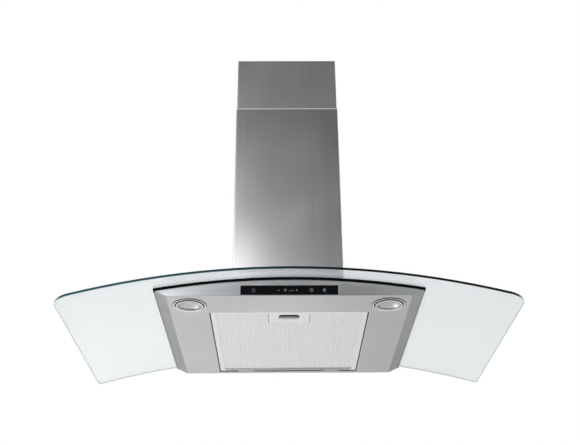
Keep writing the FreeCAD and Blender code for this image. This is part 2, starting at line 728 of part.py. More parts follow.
def control_tray():
    """Plastic tray behind the strip, open towards it."""
    low, high = strip_span(STRIP_LAP)
    half = STRIP_WIDTH / 2 + 2 * STRIP_LAP
    near = SHEET * math.hypot(1, FRONT_SLOPE) + STRIP_THICKNESS
    outer = slanted_slab(-half, half, low, high, near, near + TRAY_DEPTH)
    hollow = slanted_slab(
        TRAY_WALL - half, half - TRAY_WALL, low + TRAY_WALL, high - TRAY_WALL,
        near - CROSS, near + TRAY_DEPTH - TRAY_WALL
    )
    return outer.cut(hollow)


def control_board():
    low, high = strip_span(STRIP_LAP)
    half = STRIP_WIDTH / 2 + 2 * STRIP_LAP - TRAY_WALL
    near = SHEET * math.hypot(1, FRONT_SLOPE) + STRIP_THICKNESS + TOUCH_GAP
    return slanted_slab(-half, half, low + TRAY_WALL, high - TRAY_WALL, near, near + BOARD_THICKNESS)


def touch_pads():
    """Springy pads that carry the touch from the strip to the board."""
    low, high = strip_span(0)
    middle = (low + high) / 2
    near = SHEET * math.hypot(1, FRONT_SLOPE) + STRIP_THICKNESS
    half = TOUCH_PAD_WIDTH / 2
    pads = []
    for x in TOUCH_PLACES:
        pads.append(slanted_slab(x - half, x + half, middle - half, middle + half, near, near + TOUCH_GAP))
    return Part.makeCompound(pads)


# ---- lamps ------------------------------------------------------------------------------


def lamp_bezel(x):
    """Pressed ring, a groove and a raised rim for the lens, on a sleeve up through the plate."""
    face = BOTTOM_Z - LAMP_PROUD
    low = BOTTOM_Z - LAMP_RIM_PROUD
    soft = LAMP_PROUD / 2
    groove = LAMP_LENS_RADIUS + LAMP_GROOVE
    profile = [
        (LAMP_OPENING_RADIUS, BOTTOM_Z),
        (LAMP_OPENING_RADIUS, low + 2 * soft),
        (LAMP_OPENING_RADIUS + soft, low),
        (LAMP_LENS_RADIUS - soft, low),
        (LAMP_LENS_RADIUS, low + soft),
        (LAMP_LENS_RADIUS, BOTTOM_Z - LAMP_PROUD / 3),
        (groove, BOTTOM_Z - LAMP_PROUD / 3),
        (groove, face + LAMP_PROUD / 3),
        (groove + LAMP_PROUD / 3, face),
        (LAMP_RADIUS - LAMP_PROUD, face),
        (LAMP_RADIUS - LAMP_PROUD / 3, face + LAMP_PROUD / 3),
        (LAMP_RADIUS, BOTTOM_Z),
        (LAMP_BODY_RADIUS, BOTTOM_Z),
        (LAMP_BODY_RADIUS, BOTTOM_Z + LAMP_HEIGHT),
        (LAMP_LENS_RADIUS + REFLECTOR_WALL, BOTTOM_Z + LAMP_HEIGHT),
        (LAMP_LENS_RADIUS + REFLECTOR_WALL, BOTTOM_Z),
    ]
    return turned(profile, x, LAMP_Y)


def lamp_lens(x):
    radius = LAMP_LENS_RADIUS + REFLECTOR_WALL
    return rod(radius, x, LAMP_Y, BOTTOM_Z, LENS_THICKNESS, Z_AXIS)


def reflector_top():
    return BOTTOM_Z + LAMP_HEIGHT - 2 * SHEET


def lamp_reflector(x):
    """Dished mirror from the lens up to the light source."""
    low = BOTTOM_Z + LENS_THICKNESS
    high = reflector_top()
    rim = LAMP_LENS_RADIUS + REFLECTOR_WALL
    bend = low + (high - low) * REFLECTOR_BEND_UP
    half_way = LIGHT_RADIUS + (rim - LIGHT_RADIUS) * REFLECTOR_BEND_OUT
    profile = [
        (rim, low),
        (rim - 2 * REFLECTOR_WALL, low),
        (half_way, bend),
        (LIGHT_RADIUS, high - REFLECTOR_WALL),
        (LIGHT_RADIUS, high),
        (half_way, bend + 2 * REFLECTOR_WALL),
        (rim, low + 2 * REFLECTOR_WALL),
    ]
    return turned(profile, x, LAMP_Y)


def lamp_module(x):
    """Back plate of the lamp with its raised light source."""
    high = reflector_top()
    plate = rod(LAMP_LENS_RADIUS + REFLECTOR_WALL, x, LAMP_Y, high, SHEET, Z_AXIS)
    light = rod(LIGHT_RADIUS, x, LAMP_Y, high - SHEET, SHEET, Z_AXIS)
    return plate.fuse(light).removeSplitter()


def lamp_clips():
    """Spring clips that press each lamp against the bottom plate from above."""
    foot = LEDGE_TOP
    start = LAMP_BODY_RADIUS
    heel = LAMP_BODY_RADIUS + LAMP_HOLE_CLEARANCE + LAMP_CLIP_REACH
    clips = []
    for x in (-LAMP_X, LAMP_X):
        for side in (-1, 1):
            profile = [
                (x + side * start, foot + LAMP_CLIP_HEIGHT),
                (x + side * (start + LAMP_CLIP_SHEET), foot + LAMP_CLIP_HEIGHT),
                (x + side * (heel + LAMP_CLIP_SHEET), foot),
                (x + side * heel, foot),
                (x + side * start, foot + LAMP_CLIP_HEIGHT - 2 * LAMP_CLIP_SHEET),
            ]
            clip = prism_along_y(profile, LAMP_Y - LAMP_CLIP_WIDTH / 2, LAMP_Y + LAMP_CLIP_WIDTH / 2)
            clips.append(clip.cut(rod(start, x, LAMP_Y, BOTTOM_Z, 2 * LAMP_HEIGHT, Z_AXIS)))
    return Part.makeCompound(clips)


# ---- grease filter ---------------------------------------------------------------------


def handle_bay(low, high):
    """Space that the filter's layers leave for the handle and its latch."""
    half = HANDLE_HALF + BAY_GAP
    return box(-half, half, FILTER_FRONT - CROSS, HANDLE_REAR + BAY_GAP, low - CROSS, high + CROSS)


def filter_frame():
    """Channel frame with drain slots, latch holes and two rear tabs."""
    outer = box(-FILTER_HALF, FILTER_HALF, FILTER_FRONT, FILTER_REAR, FILTER_Z, FILTER_TOP)
    inner = box(
        FRAME_SHEET - FILTER_HALF, FILTER_HALF - FRAME_SHEET,
        FILTER_FRONT + FRAME_SHEET, FILTER_REAR - FRAME_SHEET, LAYER_Z, LAYER_TOP
    )
    window = box(
        FRAME_LIP - FILTER_HALF, FILTER_HALF - FRAME_LIP,
        FILTER_FRONT + FRAME_LIP, FILTER_REAR - FRAME_LIP, FILTER_Z - CROSS, FILTER_TOP + CROSS
    )
    frame = outer.cut(inner).cut(window)
    drains = []
    count = int((FILTER_HALF - FRAME_LIP) / RIB_PITCH)
    slot_rear = FILTER_REAR - FRAME_SHEET
    for number in range(-count, count + 1):
        x = number * RIB_PITCH
        drains.append(box(
            x - DRAIN_WIDTH / 2, x + DRAIN_WIDTH / 2, slot_rear - DRAIN_LENGTH, slot_rear,
            FILTER_Z - CROSS, LAYER_Z + CROSS / 10
        ))
    frame = frame.cut(Part.makeCompound(drains))
    for side in (-1, 1):
        x = side * BOLT_TONGUE_SPREAD / 2
        reach = BOLT_TONGUE_WIDTH / 2 + LATCH_GAP
        frame = frame.cut(box(
            x - reach, x + reach, FILTER_FRONT - CROSS, FILTER_FRONT + 2 * FRAME_SHEET,
            TONGUE_Z - LATCH_GAP, TONGUE_TOP + LATCH_GAP
        ))
    low = LEDGE_TOP + HINGE_GAP
    for side in (-1, 1):
        x = side * TAB_SPREAD / 2
        frame = frame.fuse(box(
            x - TAB_WIDTH / 2, x + TAB_WIDTH / 2, FILTER_REAR - FRAME_SHEET, TAB_REACH - OPENING_REAR,
            low, low + TAB_THICKNESS
        ))
    return frame.removeSplitter()


def corrugation(start, count, pitch, flat, slope, sheet, wall, height):
    """Closed profile of a folded sheet: crests down, count ribs from start."""
    lower = []
    upper = []
    for number in range(count):
        middle = start + number * pitch
        half = flat / 2
        lower += [(middle - half, 0), (middle + half, 0)]
        upper += [(middle - half + wall, sheet), (middle + half - wall, sheet)]
        if number < count - 1:
            rise = middle + half + slope
            fall = middle + pitch - half - slope
            lower += [(rise, height - sheet), (fall, height - sheet)]
            upper += [(rise - wall, height), (fall + wall, height)]
    return lower + upper[::-1]


def filter_face():
    """Ribbed aluminium face that the cook sees, its ribs from front to back."""
    half = FILTER_HALF - LAYER_MARGIN
    count = 2 * int((half - RIB_FLAT / 2) / RIB_PITCH) + 1
    start = -(count - 1) / 2 * RIB_PITCH
    outline = corrugation(start, count, RIB_PITCH, RIB_FLAT, RIB_SLOPE, RIB_SHEET, RIB_WALL, RIB_HEIGHT)
    profile = [(x, LAYER_Z + z) for x, z in outline]
    sheet = prism_along_y(profile, FILTER_FRONT + LAYER_MARGIN, FILTER_REAR - FRAME_SHEET - DRAIN_LENGTH)
    return sheet.cut(handle_bay(LAYER_Z, LAYER_TOP))


def filter_core():
    """Coarse corrugated layer across the first one."""
    low = LAYER_Z + RIB_HEIGHT
    height = LAYER_TOP - NET_THICKNESS - low
    first = FILTER_FRONT + LAYER_MARGIN + CORE_FLAT / 2
    last = FILTER_REAR - LAYER_MARGIN - CORE_FLAT / 2
    count = int((last - first) / CORE_PITCH) + 1
    outline = corrugation(first, count, CORE_PITCH, CORE_FLAT, CORE_SLOPE, CORE_SHEET, CORE_SHEET, height)
    profile = [(y, low + z) for y, z in outline]
    half = FILTER_HALF - LAYER_MARGIN
    return prism_along_x(profile, -half, half).cut(handle_bay(low, LAYER_TOP))


def filter_back():
    """Punched net that holds the layers in from above."""
    half = FILTER_HALF - LAYER_MARGIN
    front = FILTER_FRONT + LAYER_MARGIN
    rear = FILTER_REAR - LAYER_MARGIN
    low = LAYER_TOP - NET_THICKNESS
    across = (2 * half - NET_BAR) / NET_COLUMNS
    along = (rear - front - NET_BAR) / NET_ROWS
    holes = []
    for column in range(NET_COLUMNS):
        for row in range(NET_ROWS):
            x = -half + NET_BAR + column * across
            y = front + NET_BAR + row * along
            holes.append(box(
                x, x + across - NET_BAR, y, y + along - NET_BAR, low - CROSS, LAYER_TOP + CROSS
            ))
    sheet = box(-half, half, front, rear, low, LAYER_TOP).cut(Part.makeCompound(holes))
    bay = handle_bay(low, LAYER_TOP)
    frame = box(
        -HANDLE_HALF - BAY_GAP - NET_BAR, HANDLE_HALF + BAY_GAP + NET_BAR,
        front, HANDLE_REAR + BAY_GAP + NET_BAR, low, LAYER_TOP
    )
    return sheet.fuse(frame).cut(bay).removeSplitter()


def filter_handle():
    """Pressed tray with the finger slot; its roof hooks under the frame."""
    front = HANDLE_FRONT
    plate = box(-HANDLE_HALF, HANDLE_HALF, front, HANDLE_REAR, FILTER_Z, LAYER_Z)
    finger = rounded_block(
        -FINGER_WIDTH / 2, FINGER_WIDTH / 2, FINGER_Y - FINGER_DEPTH / 2, FINGER_Y + FINGER_DEPTH / 2,
        FILTER_Z - CROSS, LAYER_Z + CROSS, FINGER_CORNER, FINGER_CORNER
    )
    plate = plate.cut(finger)
    walls = []
    for side in (-1, 1):
        edge = side * HANDLE_HALF
        inner = side * (HANDLE_HALF - HANDLE_SHEET)
        walls.append(box(min(edge, inner), max(edge, inner), front, HANDLE_REAR, LAYER_Z, LAYER_TOP))
    walls.append(box(
        -HANDLE_HALF, HANDLE_HALF, HANDLE_REAR - HANDLE_SHEET, HANDLE_REAR, LAYER_Z, LAYER_TOP
    ))
    roof_front = FILTER_FRONT + FRAME_SHEET
    walls.append(box(
        -HANDLE_HALF, HANDLE_HALF, roof_front, HANDLE_REAR, LAYER_TOP - HANDLE_SHEET, LAYER_TOP
    ))
    return plate.fuse(walls).removeSplitter()


def filter_latch():
    """Sliding plate with two tongues over the front collar and a finger lip."""
    low = LAYER_Z + LATCH_GAP
    top = low + LATCH_SHEET
    plate = box(-LATCH_HALF, LATCH_HALF, HANDLE_FRONT, LATCH_REAR, low, top)
    front = FINGER_Y - FINGER_DEPTH / 2 - LATCH_SHEET
    half = FINGER_WIDTH / 2 + LATCH_SHEET
    back = FINGER_Y + LATCH_LIP_BEHIND
    plate = plate.cut(box(-half, half, front, back, low - CROSS, top + CROSS))
    lip = box(-half, half, back, back + LATCH_SHEET, top, top + LATCH_LIP_HEIGHT)
    pieces = [lip]
    reach = OPENING_FRONT - SHEET - BOLT_LAP
    for side in (-1, 1):
        x = side * BOLT_TONGUE_SPREAD / 2
        left = x - BOLT_TONGUE_WIDTH / 2
        right = x + BOLT_TONGUE_WIDTH / 2
        pieces.append(box(left, right, reach, HANDLE_FRONT + LATCH_SHEET, TONGUE_Z, TONGUE_TOP))
        pieces.append(box(left, right, HANDLE_FRONT, HANDLE_FRONT + LATCH_SHEET, low, TONGUE_TOP))
    return plate.fuse(pieces).removeSplitter()


def latch_springs():
    """Two bent leaf springs that push the latch forward."""
    back = HANDLE_REAR - HANDLE_SHEET
    middle = (LATCH_REAR + back) / 2
    low = LAYER_Z + LATCH_GAP
    springs = []
    for side in (-1, 1):
        x = side * LATCH_HALF * SPRING_PLACE
        tip = x + side * LATCH_SPRING_LENGTH / 2
        outline = [
            (x, LATCH_REAR),
            (tip, middle),
            (x, back),
            (x - side * SPRING_STRIP, back),
            (tip - side * SPRING_STRIP, middle),
            (x - side * SPRING_STRIP, LATCH_REAR),
        ]
        face = polygon_face([Vector(px, py, low) for px, py in outline])
        springs.append(face.extrude(Vector(0, 0, LATCH_SHEET)))
    return Part.makeCompound(springs)


# ---- chimney covers -----------------------------------------------------------------------


def chimney(half, front, rear, low, high):
    """Folded cover: front, two sides and two returns at the wall."""
    sheet = CHIMNEY_SHEET
    outer = rounded_block(-half, half, front, rear, low, high, CHIMNEY_BEND, CHIMNEY_BEND)
    inner_bend = CHIMNEY_BEND - sheet
    inner = rounded_block(
        sheet - half, half - sheet, front + sheet, rear - sheet, low - CROSS, high + CROSS,
        inner_bend, inner_bend
    )
    gap = half - CHIMNEY_RETURN
    back = box(-gap, gap, rear - 2 * CHIMNEY_BEND, rear + CROSS, low - CROSS, high + CROSS)
    return outer.cut(inner).cut(back)


def lower_chimney():
    low = GLASS_Z - GLASS_THICKNESS - CROSS
    cover = chimney(CHIMNEY_HALF, -CHIMNEY_DEPTH, 0, low, GLASS_Z + LOWER_CHIMNEY_TOP)
    return cover.cut(under_arch(GLASS_THICKNESS))


def trim_screw_y():
    return -BRACKET_FORWARD - BRACKET_TAB / 2


def trim_screw_z():
    return UPPER_TOP - BRACKET_HEIGHT / 2


def vent_slots():
    """Narrow upright slots in both sides, near the top."""
    slots = []
    middle = (UPPER_FRONT + UPPER_REAR) / 2
    top = UPPER_TOP - VENT_FROM_TOP
    radius = VENT_WIDTH / 2
    start = -UPPER_HALF - CROSS
    length = 2 * (UPPER_HALF + CROSS)
    for number in range(VENT_COUNT):
        y = middle + (number - (VENT_COUNT - 1) / 2) * VENT_PITCH
        low = top - VENT_LENGTH + radius
        slots.append(box(start, start + length, y - radius, y + radius, low, top - radius))
        slots.append(rod(radius, start, y, low, length, X_AXIS))
        slots.append(rod(radius, start, y, top - radius, length, X_AXIS))
    return slots


def screw_cone(side):
    """Countersink in the side of the upper chimney, and the head that fills it."""
    base = Vector(side * (UPPER_HALF - CHIMNEY_SHEET), trim_screw_y(), trim_screw_z())
    return Part.makeCone(TRIM_SCREW_RADIUS, TRIM_SCREW_HEAD, CHIMNEY_SHEET, base, Vector(side, 0, 0))


def upper_chimney():
    cover = chimney(UPPER_HALF, UPPER_FRONT, UPPER_REAR, UPPER_TOP - UPPER_CHIMNEY_LENGTH, UPPER_TOP)
    cones = [screw_cone(side) for side in (-1, 1)]
    return cut_all(cover, vent_slots() + cones)


def chimney_bracket():
    """Joggled wall strip with a tab against each side of the upper chimney."""
    sheet = BRACKET_SHEET
    half = BRACKET_PLATE_WIDTH / 2
    inner = UPPER_HALF - CHIMNEY_SHEET
    parts = [box(-half, half, -sheet, 0, BRACKET_Z, UPPER_TOP)]
    for side in (-1, 1):
        leg = sorted((side * half, side * (half - sheet)))
        step = sorted((side * (half - sheet), side * inner))
        tab = sorted((side * inner, side * (inner - sheet)))
        forward = -BRACKET_FORWARD
        parts.append(box(leg[0], leg[1], forward, -sheet, BRACKET_Z, UPPER_TOP))
        parts.append(box(step[0], step[1], forward - sheet, forward, BRACKET_Z, UPPER_TOP))
        parts.append(box(tab[0], tab[1], forward - BRACKET_TAB, forward, BRACKET_Z, UPPER_TOP))
    bracket = parts[0].fuse(parts[1:])
    z = trim_screw_z()
    length = sheet + 2 * CROSS
    for side in (-1, 1):
        x = side * BRACKET_HOLE_SPACING / 2
        bracket = bracket.cut(rod(BRACKET_HOLE_RADIUS, x, -sheet - CROSS, z, length, Y_AXIS))
        start = side * (inner - sheet - CROSS)
        bracket = bracket.cut(rod(TRIM_SCREW_RADIUS, start, trim_screw_y(), z, length, Vector(side, 0, 0)))
    return bracket.removeSplitter()


def chimney_screws():
    screws = []
    for side in (-1, 1):
        x = side * (UPPER_HALF - CHIMNEY_SHEET)
        axis = Vector(-side, 0, 0)
        shank = rod(TRIM_SCREW_RADIUS, x, trim_screw_y(), trim_screw_z(), TRIM_SCREW_LENGTH, axis)
        screws.append(screw_cone(side).fuse(shank))
    return Part.makeCompound(screws)


# ---- chassis ---------------------------------------------------------------------------------


def neck_opening(low, high):
    """Rectangular way of the air out of the blower through the top."""
    wall = SCROLL_WALL
    return box(
        wall - SCROLL_HALF, SCROLL_HALF - wall, SCROLL_FRONT + wall, NECK_REAR - wall, low, high
    )


def cover_screw_places():
    x = CHASSIS_HALF - CHASSIS_SHEET - COVER_FLANGE / 2
    low = FLANGE_TOP + COVER_FLANGE
    high = CHASSIS_TOP - COVER_FLANGE
    places = []
    for row in range(COVER_SCREW_ROWS):
        z = low + (high - low) * row / (COVER_SCREW_ROWS - 1)
        places += [(-x, z), (x, z)]
    return places


def clip_places():
    z = FLANGE_TOP + CLIP_ABOVE_FLANGE + CLIP_HEIGHT / 2
    return [(side, (CHASSIS_FRONT - CHASSIS_SHEET) / 2, z) for side in (-1, 1)]


def neck_screw_places():
    x = SCROLL_HALF + NECK_FLANGE / 2
    front = SCROLL_FRONT + SCROLL_WALL + NECK_FLANGE
    rear = NECK_REAR - SCROLL_WALL - NECK_FLANGE
    return [(side * x, y) for y in (front, rear) for side in (-1, 1)]


def spigot_screw_places():
    x = plenum_half() + SPIGOT_FLANGE_LIP / 2
    front = PLENUM_FRONT + SPIGOT_RADIUS / 2
    rear = PLENUM_REAR - SPIGOT_RADIUS / 2
    return [(side * x, y) for y in (front, rear) for side in (-1, 1)]


def chassis():
    """Welded steel box that hangs on the wall and carries everything."""
    half = CHASSIS_HALF
    sheet = CHASSIS_SHEET
    outer = box(-half, half, CHASSIS_FRONT, 0, FLANGE_Z, CHASSIS_TOP)
    inner = box(
        sheet - half, half - sheet, CHASSIS_FRONT + sheet, -sheet, FLANGE_Z - CROSS, CHASSIS_TOP - sheet
    )
    window = box(
        sheet + COVER_FLANGE - half, half - sheet - COVER_FLANGE, CHASSIS_FRONT - CROSS,
        CHASSIS_FRONT + 2 * sheet, FLANGE_TOP + COVER_FLANGE, CHASSIS_TOP - sheet - COVER_FLANGE
    )
    shell = outer.cut(inner).cut(window)
    flange = box(-FLANGE_HALF, FLANGE_HALF, FLANGE_FRONT, -sheet, FLANGE_Z, FLANGE_TOP)
    mouth = box(-AIR_HALF, AIR_HALF, AIR_FRONT, AIR_REAR, FLANGE_Z - CROSS, FLANGE_TOP + CROSS)
    frame = shell.fuse(flange.cut(mouth)).removeSplitter()
    cuts = upright_holes(BOLT_HOLE_RADIUS, bolt_places(), FLANGE_Z - CROSS, FLANGE_TOP + CROSS)
    cuts.append(neck_opening(CHASSIS_TOP - CROSS, CHASSIS_TOP + CROSS))
    for side in (-1, 1):
        x = side * SLOT_SPACING / 2
        cuts.append(slot_along_x(SLOT_LENGTH, SLOT_WIDTH, x, -CROSS, 0, 2 * CROSS))
        low = FLANGE_TOP + SAFETY_HOLE_ABOVE_FLANGE
        cuts.append(rod(SAFETY_HOLE_RADIUS, x, -CROSS, low, 2 * CROSS, Y_AXIS))
    for x, z in cover_screw_places():
        cuts.append(rod(SCREW_RADIUS, x, CHASSIS_FRONT - CROSS, z, 2 * CROSS, Y_AXIS))
    for side, y, z in clip_places():
        cuts.append(rod(SCREW_RADIUS, side * (half - CROSS), y, z, 2 * CROSS, Vector(side, 0, 0)))
    places = neck_screw_places() + spigot_screw_places()
    cuts += upright_holes(SCREW_RADIUS, places, CHASSIS_TOP - CROSS, CHASSIS_TOP + CROSS)
    return cut_all(frame, cuts)


def chassis_cover():
    """Removable front plate of the chassis."""
    plate = box(
        -CHASSIS_HALF, CHASSIS_HALF, CHASSIS_FRONT - CHASSIS_SHEET, CHASSIS_FRONT, FLANGE_TOP, CHASSIS_TOP
    )
    holes = []
    for x, z in cover_screw_places():
        holes.append(rod(SCREW_RADIUS, x, CHASSIS_FRONT - CROSS, z, 2 * CROSS, Y_AXIS))
    return cut_all(plate, holes)


def screw(x, y, z, axis):
    """Pan-head screw whose head sits on (x, y, z) and whose head faces along axis."""
    head = rod(SCREW_HEAD_RADIUS, x, y, z, SCREW_HEAD_HEIGHT, axis)
    shank = rod(SCREW_RADIUS, x, y, z, SCREW_LENGTH, axis.negative())
    return head.fuse(shank)


def case_screws():
    """The like screws of the cover, the clips, the blower, the spigot and the motor."""
    screws = []
    for x, z in cover_screw_places():
        screws.append(screw(x, CHASSIS_FRONT - CHASSIS_SHEET, z, Vector(0, -1, 0)))
    for side, y, z in clip_places():
        screws.append(screw(side * (CHASSIS_HALF + CLIP_SHEET), y, z, Vector(side, 0, 0)))
    for x, y in neck_screw_places():
        screws.append(screw(x, y, CHASSIS_TOP, Z_AXIS))
    for x, y in spigot_screw_places():
        screws.append(screw(x, y, CHASSIS_TOP + SPIGOT_WALL, Z_AXIS))
    for angle in arm_angles():
        y, z = foot_place(angle)
        screws.append(screw(ARM_X + GUARD_THICKNESS + ARM_THICKNESS, y, z, X_AXIS))
    return Part.makeCompound(screws)


def chimney_clips():
    """Z-shaped strips that hold the lower chimney off the chassis."""
    clips = []
    low = FLANGE_TOP + CLIP_ABOVE_FLANGE
    for side, y, z in clip_places():
        near = side * CHASSIS_HALF
        far = side * (CHIMNEY_HALF - CHIMNEY_SHEET)
        inner = sorted((near, near + side * CLIP_SHEET))
        outer = sorted((far, far - side * CLIP_SHEET))
        across = sorted((near, far))
        front = y - CLIP_WIDTH / 2
        rear = y + CLIP_WIDTH / 2
        clip = box(across[0], across[1], front, rear, low, low + CLIP_SHEET)
        clip = clip.fuse([
            box(inner[0], inner[1], front, rear, low, low + CLIP_HEIGHT),
            box(outer[0], outer[1], front, rear, low, low + CLIP_HEIGHT),
        ]).removeSplitter()
        start = side * (CHASSIS_HALF - CROSS)
        clips.append(clip.cut(rod(SCREW_RADIUS, start, y, z, 2 * CROSS, Vector(side, 0, 0))))
    return Part.makeCompound(clips)


# ---- blower -----------------------------------------------------------------------------------


def spiral_face(offset, x):
    """Inside of the scroll, grown by offset: three quarter arcs and the neck."""
    step = SPIRAL_STEP
    radius = SPIRAL_RADIUS + offset
    y = BLOWER_Y
    z = BLOWER_Z
    top = CHASSIS_TOP - CHASSIS_SHEET

    def at(centre_y, centre_z, reach, degrees):
        dy, dz = polar(reach, math.radians(degrees))
        return Vector(x, centre_y + dy, centre_z + dz)

    first = (y + step / 2, z - step / 2)
    second = (y - step / 2, z - step / 2)
    third = (y - step / 2, z + step / 2)
    arcs = [
        Part.Arc(*[at(first[0], first[1], radius, a) for a in (90, 45, 0)]),
        Part.Arc(*[at(second[0], second[1], radius + step, a) for a in (0, -45, -90)]),
        Part.Arc(*[at(third[0], third[1], radius + 2 * step, a) for a in (-90, -135, -180)]),
    ]
    tongue = at(first[0], first[1], radius, 90)
    front_end = at(third[0], third[1], radius + 2 * step, -180)
    front_top = Vector(x, front_end.y, top)
    rear_top = Vector(x, tongue.y - SCROLL_WALL + offset, top)
    rear_low = Vector(x, rear_top.y, tongue.z)
    corners = [front_end, front_top, rear_top, rear_low]
    if abs(rear_low.y - tongue.y) > 1e-6:
        corners.append(tongue)
    edges = [arc.toShape() for arc in arcs]
    for start, end in zip(corners, corners[1:]):
        edges.append(Part.LineSegment(start, end).toShape())
    return Part.Face(Part.Wire(Part.__sortEdges__(edges)))


def scroll_half(side):
    """One half of the scroll case, split across the axis of the impeller."""
    wall = SCROLL_WALL
    depth = side * SCROLL_HALF
    outer = spiral_face(wall, 0).extrude(Vector(depth, 0, 0))
    inner = spiral_face(0, -side * wall).extrude(Vector(depth, 0, 0))
    half = outer.cut(inner)
    top = CHASSIS_TOP - CHASSIS_SHEET
    low = top - NECK_FLANGE_THICKNESS
    neck = sorted((0, side * (SCROLL_HALF + NECK_FLANGE)))
    flange = box(neck[0], neck[1], SCROLL_FRONT, NECK_REAR, low, top)
    half = half.fuse(flange.cut(neck_opening(low - CROSS, top + CROSS)))
    start = side * SCROLL_HALF
    axis = Vector(side, 0, 0)
    lip = rod(INLET_RADIUS + wall, start, BLOWER_Y, BLOWER_Z, INLET_LIP, axis)
    half = half.fuse(lip)
    inlet = rod(INLET_RADIUS, start - side * 2 * wall, BLOWER_Y, BLOWER_Z, TALL, axis)
    half = half.cut(inlet)
    holes = upright_holes(SCREW_RADIUS, neck_screw_places(), low - CROSS, top + CROSS)
    return cut_all(half, holes).removeSplitter()


def inlet_guard(side, inner):
    """Ring and spoke guard over an inlet, from the radius inner outwards."""
    start = side * (SCROLL_HALF + INLET_LIP)
    axis = Vector(side, 0, 0)
    outer = INLET_RADIUS + SCROLL_WALL
    rings = []
    for number in range(GUARD_RINGS):
        reach = outer - (outer - inner - GUARD_BAR) * number / (GUARD_RINGS - 1)
        rings.append(ring(reach, reach - GUARD_BAR, start, BLOWER_Y, BLOWER_Z, GUARD_THICKNESS, axis))
    spokes = []
    for number in range(GUARD_SPOKES):
        spoke = box(
            0, GUARD_THICKNESS, -GUARD_BAR / 2, GUARD_BAR / 2, inner + GUARD_BAR / 2, outer - GUARD_BAR / 2
        )
        spoke.rotate(Vector(0, 0, 0), X_AXIS, 360.0 / GUARD_SPOKES * (number + 0.5))
        spoke.translate(Vector(start - (GUARD_THICKNESS if side < 0 else 0), BLOWER_Y, BLOWER_Z))
        spokes.append(spoke)
    return rings[0].fuse(rings[1:] + spokes).removeSplitter()


def impeller():
    """Double-inlet wheel: blades between two rings, on a disc with a hub."""
    half = IMPELLER_HALF
    blades = []
    lean = math.radians(BLADE_LEAN)
    for number in range(BLADE_COUNT):
        angle = 2 * math.pi * number / BLADE_COUNT
        radius_in = BLADE_INNER + IMPELLER_RING / 2
        radius_out = IMPELLER_RADIUS - IMPELLER_RING / 4
        wide_in = BLADE_THICKNESS / radius_in
        wide_out = BLADE_THICKNESS / radius_out
        twist = lean * BLADE_DEPTH / IMPELLER_RADIUS
        corners = [
            polar(radius_in, angle),
            polar(radius_out, angle + twist),
            polar(radius_out, angle + twist + wide_out),
            polar(radius_in, angle + wide_in),
        ]
        face = polygon_face([Vector(-half, BLOWER_Y + dy, BLOWER_Z + dz) for dy, dz in corners])
        blades.append(face.extrude(Vector(2 * half, 0, 0)))
    ends = []
    for start in (-half, half - IMPELLER_RING):
        ends.append(ring(IMPELLER_RADIUS, BLADE_INNER, start, BLOWER_Y, BLOWER_Z, IMPELLER_RING, X_AXIS))
    disc = rod(IMPELLER_RADIUS, -IMPELLER_RING / 2, BLOWER_Y, BLOWER_Z, IMPELLER_RING, X_AXIS)
    hub = rod(HUB_RADIUS, -HUB_LENGTH / 2, BLOWER_Y, BLOWER_Z, HUB_LENGTH, X_AXIS)
    wheel = disc.fuse([hub] + ends + blades)
    bore = rod(SHAFT_RADIUS, -HUB_LENGTH, BLOWER_Y, BLOWER_Z, 2 * HUB_LENGTH, X_AXIS)
    return wheel.cut(bore)


# ---- motor ------------------------------------------------------------------------------------


def bearing_seat(start):
    return rod(BEARING_RADIUS + BEARING_WALL, start, BLOWER_Y, BLOWER_Z, BEARING_LENGTH, X_AXIS)


def motor_case():
    """Cup with the front bearing seat and the mounting face."""
    can = rod(MOTOR_RADIUS, MOTOR_START, BLOWER_Y, BLOWER_Z, MOTOR_LENGTH, X_AXIS)
    hollow = rod(
        MOTOR_RADIUS - MOTOR_WALL, MOTOR_START + MOTOR_WALL, BLOWER_Y, BLOWER_Z, MOTOR_LENGTH, X_AXIS
    )
    case = can.cut(hollow).fuse(bearing_seat(FRONT_BEARING))
    case = case.cut(rod(BEARING_RADIUS, FRONT_BEARING, BLOWER_Y, BLOWER_Z, BEARING_LENGTH + CROSS, X_AXIS))
    mouth = SHAFT_RADIUS + BEARING_WALL / 2
    return case.cut(rod(mouth, MOTOR_START - CROSS, BLOWER_Y, BLOWER_Z, MOTOR_LENGTH, X_AXIS))


def motor_end_cap():
    cap = rod(MOTOR_RADIUS, MOTOR_END, BLOWER_Y, BLOWER_Z, END_CAP_THICKNESS, X_AXIS)
    cap = cap.fuse(bearing_seat(REAR_BEARING))
    start = REAR_BEARING - CROSS
    cap = cap.cut(rod(BEARING_RADIUS, start, BLOWER_Y, BLOWER_Z, BEARING_LENGTH + CROSS, X_AXIS))
    mouth = SHAFT_RADIUS + BEARING_WALL / 2
    return cap.cut(rod(mouth, MOTOR_START, BLOWER_Y, BLOWER_Z, 2 * MOTOR_LENGTH, X_AXIS))


def motor_bearings():
    rings = []
    inner = SHAFT_RADIUS + SHAFT_CLEARANCE
    for start in (FRONT_BEARING, REAR_BEARING):
        rings.append(ring(BEARING_RADIUS, inner, start, BLOWER_Y, BLOWER_Z, BEARING_LENGTH, X_AXIS))
    return Part.makeCompound(rings)


def motor_stator():
    outer = MOTOR_RADIUS - MOTOR_WALL
    return ring(outer, STATOR_INNER, STATOR_START, BLOWER_Y, BLOWER_Z, STATOR_LENGTH, X_AXIS)


def motor_windings():
    outer = MOTOR_RADIUS - MOTOR_WALL - WINDING_INSET
    inner = STATOR_INNER + WINDING_INSET
    rings = []
    for start in (STATOR_START - WINDING_LENGTH, STATOR_START + STATOR_LENGTH):
        rings.append(ring(outer, inner, start, BLOWER_Y, BLOWER_Z, WINDING_LENGTH, X_AXIS))
    return Part.makeCompound(rings)


